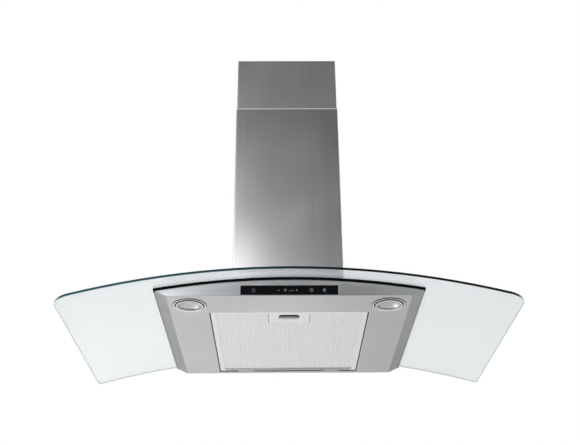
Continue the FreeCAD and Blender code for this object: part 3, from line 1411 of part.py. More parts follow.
def motor_rotor():
    radius = STATOR_INNER - AIR_GAP
    return ring(radius, SHAFT_RADIUS, STATOR_START, BLOWER_Y, BLOWER_Z, STATOR_LENGTH, X_AXIS)


def motor_shaft():
    start = -HUB_LENGTH / 2 - SHAFT_RADIUS / 2
    end = MOTOR_END + END_CAP_THICKNESS
    return rod(SHAFT_RADIUS, start, BLOWER_Y, BLOWER_Z, end - start, X_AXIS)


def arm_angles():
    return [360.0 / BRACKET_ARMS * number + 90 for number in range(BRACKET_ARMS)]


def motor_bracket():
    """Ring round the motor case with three arms to the side of the scroll."""
    start = ARM_X + GUARD_THICKNESS
    inner = MOTOR_RADIUS
    bracket = rod(inner + ARM_RING, start, BLOWER_Y, BLOWER_Z, ARM_THICKNESS, X_AXIS)
    pieces = []
    for angle in arm_angles():
        arm = box(0, ARM_THICKNESS, -ARM_WIDTH / 2, ARM_WIDTH / 2, inner, FOOT_AT)
        arm.rotate(Vector(0, 0, 0), X_AXIS, angle)
        arm.translate(Vector(start, BLOWER_Y, BLOWER_Z))
        dy, dz = foot_place(angle)
        foot = rod(FOOT_RADIUS, SCROLL_HALF, dy, dz, start + ARM_THICKNESS - SCROLL_HALF, X_AXIS)
        pieces += [arm, foot]
    bracket = bracket.fuse(pieces)
    bracket = bracket.cut(rod(inner, start - CROSS, BLOWER_Y, BLOWER_Z, 2 * CROSS, X_AXIS))
    for angle in arm_angles():
        dy, dz = foot_place(angle)
        bracket = bracket.cut(rod(SCREW_RADIUS, SCROLL_HALF - CROSS, dy, dz, TALL, X_AXIS))
    guard = rod(INLET_RADIUS + SCROLL_WALL, ARM_X - INLET_LIP, BLOWER_Y, BLOWER_Z, INLET_LIP, X_AXIS)
    return bracket.cut(guard).removeSplitter()


def foot_place(angle):
    turn = math.radians(angle)
    return BLOWER_Y - FOOT_AT * math.sin(turn), BLOWER_Z + FOOT_AT * math.cos(turn)


# ---- electronics box ------------------------------------------------------------------------


def electronics_box():
    """Plastic tray on the front cover, open to the front, with four posts."""
    half = E_BOX_WIDTH / 2
    wall = E_BOX_WALL
    top = E_BOX_Z + E_BOX_HEIGHT
    outer = box(-half, half, E_BOX_FRONT, E_BOX_BACK, E_BOX_Z, top)
    inner = box(
        wall - half, half - wall, E_BOX_FRONT - CROSS, E_BOX_BACK - wall, E_BOX_Z + wall, top - wall
    )
    tray = outer.cut(inner)
    posts = []
    for x, z in post_places():
        posts.append(rod(POST_RADIUS, x, BOARD_BACK, z, POST_HEIGHT, Y_AXIS))
    tray = tray.fuse(posts).removeSplitter()
    hole = rod(GLAND_RADIUS - GLAND_NUT / 2, gland_x(), gland_y(), top - wall - CROSS, 2 * CROSS, Z_AXIS)
    return tray.cut(hole)


def board_half():
    return E_BOX_WIDTH / 2 - E_BOX_WALL - BOARD_MARGIN


def board_span():
    reach = E_BOX_WALL + BOARD_MARGIN
    return E_BOX_Z + reach, E_BOX_Z + E_BOX_HEIGHT - reach


def post_places():
    low, high = board_span()
    x = board_half() - POST_INSET
    return [(side * x, z) for side in (-1, 1) for z in (low + POST_INSET, high - POST_INSET)]


def electronics_lid():
    half = E_BOX_WIDTH / 2
    return box(-half, half, E_BOX_FRONT - E_BOX_WALL, E_BOX_FRONT, E_BOX_Z, E_BOX_Z + E_BOX_HEIGHT)


def power_board():
    """Board on the posts, with relays and a terminal block."""
    low, high = board_span()
    half = board_half()
    front = BOARD_BACK - BOARD_THICKNESS
    board = box(-half, half, front, BOARD_BACK, low, high)
    middle = (low + high) / 2
    pieces = []
    for number in range(RELAY_COUNT):
        x = half * ((number + 0.5) * 2 / RELAY_COUNT - 1)
        left = x - RELAY_SIZE / 2
        right = x + RELAY_SIZE / 2
        pieces.append(box(left, right, front - RELAY_SIZE, front, middle, middle + RELAY_SIZE))
    block = box(
        -half + 2 * POST_INSET, half - 2 * POST_INSET, front - TERMINAL_DEPTH, front,
        high - POST_INSET / 2 - TERMINAL_HEIGHT, high - POST_INSET / 2
    )
    return board.fuse(pieces + [block]).removeSplitter()


def motor_capacitor():
    low, high = board_span()
    y = BOARD_BACK - BOARD_THICKNESS - CAPACITOR_RADIUS
    z = low + CAPACITOR_RADIUS + POST_INSET
    return rod(CAPACITOR_RADIUS, -CAPACITOR_LENGTH / 2, y, z, CAPACITOR_LENGTH, X_AXIS)


def gland_x():
    return E_BOX_WIDTH / 2 - E_BOX_WALL - 2 * GLAND_RADIUS


def gland_y():
    return (E_BOX_FRONT + E_BOX_BACK) / 2


def cable_gland():
    """Gland for the mains lead, on the top of the electronics box."""
    top = E_BOX_Z + E_BOX_HEIGHT
    stem = GLAND_RADIUS - GLAND_NUT / 2
    body = rod(stem, gland_x(), gland_y(), top - E_BOX_WALL, GLAND_HEIGHT + E_BOX_WALL, Z_AXIS)
    flange = hexagon(GLAND_RADIUS, gland_x(), gland_y(), top, GLAND_NUT)
    gland = body.fuse(flange)
    bore = rod(GLAND_BORE, gland_x(), gland_y(), top - TALL / 20, TALL / 10, Z_AXIS)
    return gland.cut(bore).removeSplitter()


# ---- exhaust spigot ------------------------------------------------------------------------------


def plenum_half():
    return SPIGOT_RADIUS + SPIGOT_WALL


def exhaust_spigot():
    """Shallow box over the blower outlet that turns into a round pipe."""
    half = plenum_half()
    wall = SPIGOT_WALL
    shell = box(-half, half, PLENUM_FRONT, PLENUM_REAR, CHASSIS_TOP, PLENUM_TOP)
    lip = box(
        -half - SPIGOT_FLANGE_LIP, half + SPIGOT_FLANGE_LIP, PLENUM_FRONT, PLENUM_REAR,
        CHASSIS_TOP, CHASSIS_TOP + wall
    )
    pipe = rod(SPIGOT_RADIUS, 0, SPIGOT_Y, PLENUM_TOP - wall, SPIGOT_HEIGHT + wall, Z_AXIS)
    hollow = box(
        wall - half, half - wall, PLENUM_FRONT + wall, PLENUM_REAR - wall,
        CHASSIS_TOP - CROSS, PLENUM_TOP - wall
    )
    bore = rod(SPIGOT_BORE, 0, SPIGOT_Y, PLENUM_TOP - CROSS, SPIGOT_HEIGHT + 2 * CROSS, Z_AXIS)
    ledge = ring(
        SPIGOT_RADIUS - wall / 2, SPIGOT_BORE - FLAP_LEDGE, 0, SPIGOT_Y, LEDGE_Z,
        FLAP_LEDGE_THICKNESS, Z_AXIS
    )
    spigot = cut_all(shell.fuse([lip, pipe]), [hollow, bore])
    spigot = spigot.fuse(ledge)
    for side in (-1, 1):
        x = side * FLAP_PIN_OFFSET
        start = SPIGOT_Y - SPIGOT_RADIUS - CROSS
        reach = 2 * (SPIGOT_RADIUS + CROSS)
        spigot = spigot.cut(rod(FLAP_PIN_RADIUS + FLAP_PIN_CLEARANCE, x, start, PIN_Z, reach, Y_AXIS))
    holes = upright_holes(SCREW_RADIUS, spigot_screw_places(), CHASSIS_TOP - CROSS, PLENUM_TOP)
    return cut_all(spigot, holes).removeSplitter()


def flap(side):
    """Half disc that rests on the ledge and swings up about its own pin."""
    radius = SPIGOT_BORE - FLAP_EDGE_GAP
    disc = rod(radius, 0, SPIGOT_Y, FLAP_Z, FLAP_THICKNESS, Z_AXIS)
    keep = sorted((side * FLAP_PIN_OFFSET, side * TALL))
    half = disc.common(box(keep[0], keep[1], -TALL, TALL, -TALL, TALL))
    x = side * FLAP_PIN_OFFSET
    barrel_reach = SPIGOT_BORE - FLAP_LEDGE - FLAP_EDGE_GAP / 2
    barrel = rod(FLAP_BARREL_RADIUS, x, SPIGOT_Y - barrel_reach, PIN_Z, 2 * barrel_reach, Y_AXIS)
    pin_reach = SPIGOT_RADIUS - SPIGOT_WALL / 4
    pin = rod(FLAP_PIN_RADIUS, x, SPIGOT_Y - pin_reach, PIN_Z, 2 * pin_reach, Y_AXIS)
    return half.fuse([barrel, pin]).removeSplitter()


# ---- every node --------------------------------------------------------------------------------


def all_nodes():
    nodes = {
        "glass_canopy": glass_canopy(),
        "glass_gasket": glass_gasket(),
        "glass_grommets": glass_grommets(),
        "duct_gasket": duct_gasket(),
        "chassis_gasket": chassis_gasket(),
        "body_shell": body_shell(),
        "body_lid": body_lid(),
        "support_bars": support_bars(),
        "chassis_bolts": chassis_bolts(),
        "chassis_nuts": chassis_nuts(),
        "control_fascia": control_fascia(),
        "control_tray": control_tray(),
        "control_board": control_board(),
        "touch_pads": touch_pads(),
        "lamp_clips": lamp_clips(),
        "filter_frame": filter_frame(),
        "filter_face": filter_face(),
        "filter_core": filter_core(),
        "filter_back": filter_back(),
        "filter_handle": filter_handle(),
        "filter_latch": filter_latch(),
        "latch_springs": latch_springs(),
        "lower_chimney": lower_chimney(),
        "upper_chimney": upper_chimney(),
        "chimney_bracket": chimney_bracket(),
        "chimney_screws": chimney_screws(),
        "chimney_clips": chimney_clips(),
        "chassis": chassis(),
        "chassis_cover": chassis_cover(),
        "case_screws": case_screws(),
        "scroll_left": scroll_half(-1),
        "scroll_right": scroll_half(1),
        "inlet_guard_left": inlet_guard(-1, HUB_RADIUS),
        "inlet_guard_right": inlet_guard(1, MOTOR_RADIUS),
        "impeller": impeller(),
        "motor_case": motor_case(),
        "motor_end_cap": motor_end_cap(),
        "motor_bearings": motor_bearings(),
        "motor_stator": motor_stator(),
        "motor_windings": motor_windings(),
        "motor_rotor": motor_rotor(),
        "motor_shaft": motor_shaft(),
        "motor_bracket": motor_bracket(),
        "electronics_box": electronics_box(),
        "electronics_lid": electronics_lid(),
        "power_board": power_board(),
        "motor_capacitor": motor_capacitor(),
        "cable_gland": cable_gland(),
        "exhaust_spigot": exhaust_spigot(),
        "damper_flap_left": flap(-1),
        "damper_flap_right": flap(1),
    }
    for name, x in (("left", -LAMP_X), ("right", LAMP_X)):
        nodes["lamp_bezel_" + name] = lamp_bezel(x)
        nodes["lamp_lens_" + name] = lamp_lens(x)
        nodes["lamp_reflector_" + name] = lamp_reflector(x)
        nodes["lamp_module_" + name] = lamp_module(x)
    return nodes


os.makedirs("parts", exist_ok=True)
for node, shape in all_nodes().items():
    shape.exportStep("parts/" + node + ".step")
    print(node, len(shape.Solids), shape.isValid(), round(shape.Volume))
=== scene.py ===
import math
import bmesh
import bpy
import numpy as np
from mathutils import Matrix, Vector


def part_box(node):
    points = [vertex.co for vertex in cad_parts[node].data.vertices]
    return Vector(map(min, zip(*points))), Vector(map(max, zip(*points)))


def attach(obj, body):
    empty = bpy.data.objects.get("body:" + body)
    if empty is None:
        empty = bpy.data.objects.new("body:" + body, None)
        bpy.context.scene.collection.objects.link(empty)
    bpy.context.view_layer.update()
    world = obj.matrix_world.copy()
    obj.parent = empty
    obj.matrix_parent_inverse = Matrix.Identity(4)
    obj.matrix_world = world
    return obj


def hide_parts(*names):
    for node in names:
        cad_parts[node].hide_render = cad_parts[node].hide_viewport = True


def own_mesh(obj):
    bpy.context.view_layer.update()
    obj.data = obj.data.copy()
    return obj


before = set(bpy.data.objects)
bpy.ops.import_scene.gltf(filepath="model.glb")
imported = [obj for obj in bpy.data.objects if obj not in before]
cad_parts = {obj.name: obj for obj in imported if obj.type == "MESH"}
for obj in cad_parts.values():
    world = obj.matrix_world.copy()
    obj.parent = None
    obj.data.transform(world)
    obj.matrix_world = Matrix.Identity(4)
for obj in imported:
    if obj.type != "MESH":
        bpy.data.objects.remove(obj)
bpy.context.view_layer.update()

# ---- Camera ----------------------------------------------------------------------
# It stands below the hood and about two metres in front of the wall, and looks up.
# Its place, its turn and its lens were fitted to the corners of the hood.

CAMERA_AT = Vector((-0.017233, -2.0834, -0.96743))
CAMERA_PITCH, CAMERA_YAW, CAMERA_ROLL = 0.489, -0.012, -0.009
FOCAL_PIXELS, PHOTO_WIDTH, SENSOR_WIDTH = 906.209, 580, 36.0
NEAREST, FARTHEST = 0.05, 60.0


def new_object(name, data):
    """New object at the origin, unturned, in the scene's collection."""
    made = bpy.data.objects.new(name, data)
    bpy.context.scene.collection.objects.link(made)
    return made


camera = new_object("camera", bpy.data.cameras.new("camera"))
bpy.context.scene.camera = camera
camera.data.sensor_width = SENSOR_WIDTH
camera.data.lens = SENSOR_WIDTH * FOCAL_PIXELS / PHOTO_WIDTH
camera.data.clip_start, camera.data.clip_end = NEAREST, FARTHEST
ahead = Vector((
    -math.sin(CAMERA_YAW) * math.cos(CAMERA_PITCH),
    math.cos(CAMERA_YAW) * math.cos(CAMERA_PITCH),
    math.sin(CAMERA_PITCH),
))
level = Vector((math.cos(CAMERA_YAW), math.sin(CAMERA_YAW), 0))
above = level.cross(ahead)
right = level * math.cos(CAMERA_ROLL) + above * math.sin(CAMERA_ROLL)
upward = above * math.cos(CAMERA_ROLL) - level * math.sin(CAMERA_ROLL)
turn = Matrix((right, upward, -ahead)).transposed().to_4x4()
camera.matrix_world = Matrix.Translation(CAMERA_AT) @ turn

# ---- Studio ----------------------------------------------------------------------
# A pale floor far below, a white surround and soft lamps: large ones at the left and
# the right, small ones in front, and others below or behind, two of which light the
# underside by way of the floor. None of it is part of the hood.

FLOOR_AT, FLOOR_REACH = -1.75, 7.0
FLOOR_COLOUR, FLOOR_ROUGHNESS = (0.82, 0.82, 0.81), 0.8
SURROUND_DIFFUSE, SURROUND_GLOSS = 0.60, 0.30
# Metal sees a dim room in front: the way to it, the span of its edge, and its light.
ROOM_SIDE, ROOM_EDGE, ROOM_GLOSS = (0.05, -0.93, 0.36), (0.72, 0.97), 0.083
WHITE, WHITE_STRENGTH = (1, 1, 1, 1), 1.0
# Each lamp: its name, its place, the point it faces, its width, its height and its power.
LAMPS = (
    ("lamp_left_high", (-0.88, -1.40, 0.47), (0.0, -0.2, 0.1), 1.0, 0.75, 9.6),
    ("lamp_left_mid", (-0.55, -1.0, 0.22), (0.0, -0.24, 0.05), 0.5, 0.3, 0.28),
    ("lamp_left_small", (-0.28, -0.95, 0.12), (-0.05, -0.24, -0.05), 0.3, 0.2, 1.02),
    ("lamp_left_front", (-0.62, -1.45, -0.12), (-0.2, -0.46, -0.25), 0.5, 0.25, 1.55),
    ("lamp_right_front", (0.5, -1.4, 0.1), (0.0, -0.2, 0.0), 0.4, 0.5, 0.5),
    ("lamp_right", (1.5, -0.8, 0.2), (0.1, -0.2, 0.0), 1.2, 1.2, 13),
    ("lamp_under_left", (-0.9, -0.2, -1.5), (-0.1, -0.25, -0.27), 0.8, 0.8, 6),
    ("lamp_low_middle", (0.0, 2.3, -1.3), (0.0, -0.2, -0.27), 0.36, 1.6, 0.49),
    ("lamp_on_floor_left", (-1.15, 3.6, -0.6), (-1.15, 3.6001, FLOOR_AT), 1.5, 1.5, 22),
    ("lamp_on_floor_right", (0.9, 3.6, -0.9), (0.9, 3.6001, FLOOR_AT), 0.8, 0.8, 3),
)


def node_in(tree, kind, inputs=None, **settings):
    """Adds a node, sets its properties, and fills or wires its named inputs."""
    made = tree.nodes.new("ShaderNode" + kind)
    for name, value in settings.items():
        setattr(made, name, value)
    for name, value in (inputs or {}).items():
        if isinstance(value, bpy.types.NodeSocket):
            tree.links.new(value, made.inputs[name])
        else:
            made.inputs[name].default_value = value
    return made


def figured(tree, operation, *values):
    """The result of a Math node for values that are numbers or sockets."""
    return node_in(tree, "Math", dict(enumerate(values)), operation=operation).outputs[0]


def finish_named(name, colour, metallic=0.0, roughness=0.5, **fixed):
    """New material whose Principled shader has these fixed values."""
    made = bpy.data.materials.new(name)
    made.use_nodes = True
    shader = made.node_tree.nodes["Principled BSDF"]
    shader.inputs["Base Color"].default_value = (*colour, 1)
    shader.inputs["Metallic"].default_value = metallic
    shader.inputs["Roughness"].default_value = roughness
    for socket, value in fixed.items():
        shader.inputs[socket.replace("_", " ")].default_value = value
    return made


def workings(material):
    """The node tree of a material, and its Principled shader."""
    return material.node_tree, material.node_tree.nodes["Principled BSDF"]


floor_mesh = bpy.data.meshes.new("studio_floor")
floor_mesh.from_pydata(
    [(x * FLOOR_REACH, y * FLOOR_REACH, FLOOR_AT) for x, y in ((-1, -1), (1, -1), (1, 1), (-1, 1))],
    [], [(0, 1, 2, 3)])
floor = new_object("studio_floor", floor_mesh)
floor_paint = finish_named("studio_floor", FLOOR_COLOUR, roughness=FLOOR_ROUGHNESS)
floor_mesh.materials.append(floor_paint)
# From below the floor can be seen through, so that the underside of the hood shows.
tree, shader = workings(floor_paint)
under = node_in(tree, "NewGeometry").outputs["Backfacing"]
gone = node_in(tree, "BsdfTransparent")
one_sided = node_in(tree, "MixShader", {0: under, 1: shader.outputs[0], 2: gone.outputs[0]})
tree.links.new(one_sided.outputs[0], tree.nodes["Material Output"].inputs["Surface"])

# The camera and the glass see plain white, metal a softer white, and matt faces the rest.
bpy.context.scene.view_settings.view_transform = "Standard"
world = bpy.data.worlds.new("studio")
bpy.context.scene.world = world
world.use_nodes = True
air = world.node_tree
surround = air.nodes["Background"]
surround.inputs["Color"].default_value = WHITE
surround.inputs["Strength"].default_value = SURROUND_DIFFUSE
ray = node_in(air, "LightPath")
sky = node_in(air, "TexCoord").outputs["Generated"]
aside = node_in(air, "VectorMath", {0: sky, 1: ROOM_SIDE}, operation="DOT_PRODUCT")
dimmed = node_in(air, "MapRange", {
    "Value": aside.outputs["Value"], "From Min": ROOM_EDGE[0], "From Max": ROOM_EDGE[1],
    "To Min": SURROUND_GLOSS, "To Max": ROOM_GLOSS}, interpolation_type="SMOOTHSTEP")
gloss = node_in(air, "Background", {"Color": WHITE, "Strength": dimmed.outputs[0]})
white = node_in(air, "Background", {"Color": WHITE, "Strength": WHITE_STRENGTH})
to_gloss = node_in(air, "MixShader", {
    0: ray.outputs["Is Glossy Ray"], 1: surround.outputs[0], 2: gloss.outputs[0]})
straight = figured(air, "MAXIMUM", ray.outputs["Is Camera Ray"], ray.outputs["Is Transmission Ray"])
to_white = node_in(air, "MixShader", {0: straight, 1: to_gloss.outputs[0], 2: white.outputs[0]})
air.links.new(to_white.outputs[0], air.nodes["World Output"].inputs["Surface"])

for name, at, towards, width, height, power in LAMPS:
    lamp = bpy.data.lights.new(name, "AREA")
    lamp.shape = "RECTANGLE"
    lamp.size, lamp.size_y, lamp.energy = width, height, power
    made = new_object(name, lamp)
    made.location = at
    made.rotation_mode = "QUATERNION"
    made.rotation_quaternion = (Vector(towards) - Vector(at)).to_track_quat("-Z", "Y")
    made.visible_camera = False

# ---- Wall chassis, its cover, the clips and brackets -----------------------------
# Folded and welded steel sheet with a dull zinc coat: the box that hangs on the
# wall, the lid and bars under the glass, the clips, and the brackets screwed to it.

SPANGLE_SCALE, SPANGLE_SHADE = 130.0, (0.88, 1.08)
MIX_FIRST, MIX_SECOND, MIX_RESULT = 6, 7, 2  # the colour sockets of a Mix node


def new_group(name, takes, gives):
    """Empty shader group with named sockets: {name: (socket type, default)}."""
    tree = bpy.data.node_groups.new(name, "ShaderNodeTree")
    for socket, (kind, value) in takes.items():
        made = tree.interface.new_socket(socket, in_out="INPUT", socket_type=kind)
        if value is not None:
            made.default_value = value
    for socket, kind in gives.items():
        tree.interface.new_socket(socket, in_out="OUTPUT", socket_type=kind)
    return tree, tree.nodes.new("NodeGroupInput"), tree.nodes.new("NodeGroupOutput")


def ramp(tree, value, start, end, low=0.0, high=1.0):
    """Goes evenly from low to high as the value goes from start to end."""
    return node_in(tree, "MapRange", {
        "Value": value, "From Min": start, "From Max": end, "To Min": low, "To Max": high}).outputs[0]


def mixed(tree, mask, first, second):
    """Goes from the first colour to the second as the mask goes from 0 to 1."""
    return node_in(tree, "Mix", {
        "Factor": mask, MIX_FIRST: first, MIX_SECOND: second}, data_type="RGBA").outputs[MIX_RESULT]


def shade_by(material, factor):
    """Multiplies the base colour by a value that changes over the surface."""
    tree, shader = workings(material)
    base = shader.inputs["Base Color"].links[0].from_socket
    shaded = node_in(tree, "VectorMath", {0: base, "Scale": factor}, operation="SCALE")
    tree.links.new(shaded.outputs[0], shader.inputs["Base Color"])


# Fine unevenness: two scales of noise turned into a shade, a roughness and a height.
mottle, inside, outside = new_group(
    "fine_mottle",
    {
        "Position": ("NodeSocketVector", None),
        "Stretch": ("NodeSocketVector", (1, 1, 1)),
        "Dark": ("NodeSocketColor", (0.5, 0.5, 0.5, 1)),
        "Light": ("NodeSocketColor", (0.6, 0.6, 0.6, 1)),
        "Smooth": ("NodeSocketFloat", 0.3),
        "Rough": ("NodeSocketFloat", 0.5),
    },
    {"Colour": "NodeSocketColor", "Roughness": "NodeSocketFloat", "Height": "NodeSocketFloat"},
)
spot = node_in(mottle, "VectorMath", {
    0: inside.outputs["Position"], 1: inside.outputs["Stretch"]}, operation="MULTIPLY")
fine = node_in(mottle, "TexNoise", {
    "Vector": spot.outputs[0], "Scale": 1.0, "Detail": 3.0, "Roughness": 0.6}).outputs["Fac"]
slow = node_in(mottle, "TexNoise", {
    "Vector": inside.outputs["Position"], "Scale": 9.0, "Detail": 2.0}).outputs["Fac"]
share = ramp(mottle, figured(mottle, "ADD", fine, slow), 0.7, 1.3)
shade = mixed(mottle, share, inside.outputs["Dark"], inside.outputs["Light"])
matt = ramp(mottle, share, 0.0, 1.0, inside.outputs["Smooth"], inside.outputs["Rough"])
mottle.links.new(shade, outside.inputs["Colour"])
mottle.links.new(matt, outside.inputs["Roughness"])
mottle.links.new(fine, outside.inputs["Height"])


def mottled(name, dark, light, smooth, rough, stretch, bump, bump_depth=0.0002, metallic=0.0, **fixed):
    """Material whose colour, roughness and height all follow the fine mottle."""
    made = finish_named(name, light, metallic, rough, **fixed)
    tree, shader = workings(made)
    uneven = node_in(tree, "Group", {
        "Position": node_in(tree, "TexCoord").outputs["Object"], "Stretch": stretch,
        "Dark": (*dark, 1), "Light": (*light, 1), "Smooth": smooth, "Rough": rough}, node_tree=mottle)
    tree.links.new(uneven.outputs["Colour"], shader.inputs["Base Color"])
    tree.links.new(uneven.outputs["Roughness"], shader.inputs["Roughness"])
    bumped = node_in(tree, "Bump", {
        "Height": uneven.outputs["Height"], "Strength": bump, "Distance": bump_depth})
    tree.links.new(bumped.outputs[0], shader.inputs["Normal"])
    return made


def dress(material, *names):
    """Gives CAD nodes their finished material."""
    for name in names:
        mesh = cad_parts[name].data
        mesh.materials.clear()
        mesh.materials.append(material)


zinc_sheet = mottled(
    "zinc_sheet", dark=(0.40, 0.42, 0.43), light=(0.56, 0.58, 0.59), smooth=0.36, rough=0.55,
    stretch=(60, 60, 60), bump=0.15, metallic=0.85)
tree = zinc_sheet.node_tree
spangle = node_in(tree, "TexVoronoi", {
    "Vector": node_in(tree, "TexCoord").outputs["Object"], "Scale": SPANGLE_SCALE})
grey = node_in(tree, "RGBToBW", {"Color": spangle.outputs["Color"]})
shade_by(zinc_sheet, ramp(tree, grey.outputs[0], 0.0, 1.0, *SPANGLE_SHADE))
dress(zinc_sheet, "chassis", "chassis_cover", "chimney_clips", "chimney_bracket", "motor_bracket",
      "body_lid", "support_bars")

# ---- Screws, bolts, nuts, lamp clips, guards and motor can -----------------------
# Small steel fasteners with a bright zinc plate, driven with a cross or a hexagon
# key. The welded wire inlet guards and the drawn motor can have the same plate.

zinc_plate = mottled(
    "zinc_plate", dark=(0.55, 0.56, 0.58), light=(0.72, 0.73, 0.74), smooth=0.18, rough=0.34,
    stretch=(240, 240, 240), bump=0.1, metallic=1.0)
dress(zinc_plate, "case_screws", "chassis_bolts", "chassis_nuts", "chimney_screws", "lamp_clips",
      "inlet_guard_left", "inlet_guard_right", "motor_case", "motor_end_cap")

# ---- Blower case, impeller, spigot and flaps -------------------------------------
# Black flame-retardant plastic, injection moulded with a fine matt grain. The two
# scroll halves clip together and hang from the top of the chassis.

black_plastic = mottled(
    "black_plastic", dark=(0.022, 0.022, 0.024), light=(0.045, 0.045, 0.048), smooth=0.42, rough=0.58,
    stretch=(900, 900, 900), bump=0.35, bump_depth=0.0001)
dress(black_plastic, "scroll_left", "scroll_right", "exhaust_spigot", "damper_flap_left",
      "damper_flap_right", "cable_gland", "control_tray", "glass_grommets")

# The wheel is a lighter, glass-filled plastic with faint flow streaks along its blades.
wheel_plastic = mottled(
    "wheel_plastic", dark=(0.13, 0.135, 0.14), light=(0.19, 0.195, 0.20), smooth=0.45, rough=0.62,
    stretch=(60, 500, 500), bump=0.25)
dress(wheel_plastic, "impeller")

# ---- Motor -----------------------------------------------------------------------
# Ground steel shaft and bearings, stacked laminations, copper windings and a die-cast
# rotor inside the zinc-plated can.

bright_steel = mottled(
    "bright_steel", dark=(0.62, 0.63, 0.64), light=(0.76, 0.77, 0.78), smooth=0.12, rough=0.26,
    stretch=(2500, 300, 300), bump=0.08, metallic=1.0)
dress(bright_steel, "motor_shaft", "motor_bearings")

laminations = mottled(
    "laminations", dark=(0.17, 0.175, 0.185), light=(0.33, 0.34, 0.36), smooth=0.35, rough=0.5,
    stretch=(2000, 12, 12), bump=0.6, metallic=0.9)
dress(laminations, "motor_stator")

copper_wire = mottled(
    "copper_wire", dark=(0.36, 0.13, 0.06), light=(0.66, 0.30, 0.15), smooth=0.22, rough=0.4,
    stretch=(1400, 60, 60), bump=0.7, metallic=0.9)
dress(copper_wire, "motor_windings")

cast_aluminium = mottled(
    "cast_aluminium", dark=(0.52, 0.52, 0.53), light=(0.70, 0.70, 0.71), smooth=0.4, rough=0.6,
    stretch=(700, 700, 700), bump=0.4, metallic=1.0)
dress(cast_aluminium, "motor_rotor")

# ---- Electronics box -------------------------------------------------------------
# Light grey moulded box screwed to the front cover, with a lacquered board and a
# white run capacitor. The lamp modules and the control board are of the same stuffs.

box_plastic = mottled(
    "box_plastic", dark=(0.60, 0.60, 0.58), light=(0.70, 0.70, 0.68), smooth=0.45, rough=0.6,
    stretch=(700, 700, 700), bump=0.3, bump_depth=0.0001)
dress(box_plastic, "electronics_box", "electronics_lid")

white_plastic = mottled(
    "white_plastic", dark=(0.80, 0.80, 0.78), light=(0.88, 0.88, 0.86), smooth=0.25, rough=0.4,
    stretch=(300, 300, 300), bump=0.1)
dress(white_plastic, "motor_capacitor", "lamp_module_left", "lamp_module_right")

board_green = mottled(
    "board_green", dark=(0.02, 0.12, 0.05), light=(0.05, 0.24, 0.11), smooth=0.2, rough=0.35,
    stretch=(350, 350, 350), bump=0.3)
dress(board_green, "power_board", "control_board")

# ---- Seals -----------------------------------------------------------------------
# Closed-cell foam pads round the air opening, and the black rubber line between the
# glass and the steel body, all matt black.

foam = mottled(
    "foam", dark=(0.05, 0.05, 0.052), light=(0.11, 0.11, 0.113), smooth=0.8, rough=0.95,
    stretch=(1100, 1100, 1100), bump=0.8, bump_depth=0.0004)
dress(foam, "duct_gasket", "chassis_gasket", "touch_pads")

SEAL_FRONT = (-0.463, -0.457)  # the side runs behind this are painted grey
SEAL_SIDE_GREY = (0.33, 0.335, 0.34)
SEAL_SINK = 0.0003  # the seal is pressed this far below the underside of the glass
MERGE_WITHIN = 0.00001  # corners of the CAD triangles nearer than this are one


def places_in(tree):
    """The X, Y and Z of each point of the piece."""
    return node_in(tree, "SeparateXYZ", {0: node_in(tree, "TexCoord").outputs["Object"]}).outputs


def paint_over(material, mask, colour):
    """Covers the base colour with a fixed one where the mask is 1."""
    tree, shader = workings(material)
    base = shader.inputs["Base Color"].links[0].from_socket
    tree.links.new(mixed(tree, mask, base, (*colour, 1)), shader.inputs["Base Color"])


def merged_copy(node, name, material, sink=0.0):
    """A copy of a CAD node with its loose triangles joined, lowered by sink."""
    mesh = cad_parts[node].data.copy()
    work = bmesh.new()
    work.from_mesh(mesh)
    bmesh.ops.remove_doubles(work, verts=work.verts, dist=MERGE_WITHIN)
    bmesh.ops.translate(work, verts=work.verts, vec=(0, 0, -sink))
    work.to_mesh(mesh)
    work.free()
    mesh.materials.clear()
    mesh.materials.append(material)
    return new_object(name, mesh)


black_rubber = mottled(
    "black_rubber", dark=(0.0012, 0.0012, 0.0014), light=(0.0035, 0.0035, 0.004), smooth=0.7, rough=0.9,
    stretch=(500, 500, 500), bump=0.3, Specular_IOR_Level=0.03)
tree = black_rubber.node_tree
# The side runs of the seal are painted grey; the front run stays black.
paint_over(black_rubber, ramp(tree, places_in(tree)["Y"], *SEAL_FRONT), SEAL_SIDE_GREY)
seal = merged_copy("glass_gasket", "pressed_seal", black_rubber, SEAL_SINK)
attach(seal, "hood")
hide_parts("glass_gasket")

# ---- Steel body and chimney covers -----------------------------------------------
# Stainless sheet brushed with an abrasive belt: the body along its width, the two
# chimney covers up and down. Folded, spot welded, and a little smeared by handling.

STEEL, LIT_UPPER_STEEL, STEP_HIGHLIGHT_STEEL = (0.60, 0.605, 0.62), (0.70, 0.705, 0.72), (0.72, 0.725, 0.73)
SEEN_STEP, STEP_BLUR = 0.335, 0.0002  # height from which the lower cover's top edge is painted lighter, as a highlight
STEP_HIGHLIGHT_METALLIC = 0.4
EASED_WIDTH, EASED_SEGMENTS = 0.0009, 2
FLAT_ANGLE, FOLD_ANGLE = math.radians(0.4), math.radians(25.0)  # flatter is one face; sharper is eased
BODY_CUTS = (-0.198, 0.0, 0.198)  # through the lamps and the touch strip
CUT_WITHIN = 0.000001
GRAIN_BUMP_DEPTH = 0.00005
VALUE_FIRST, VALUE_SECOND = 2, 3  # the value sockets of a Mix node

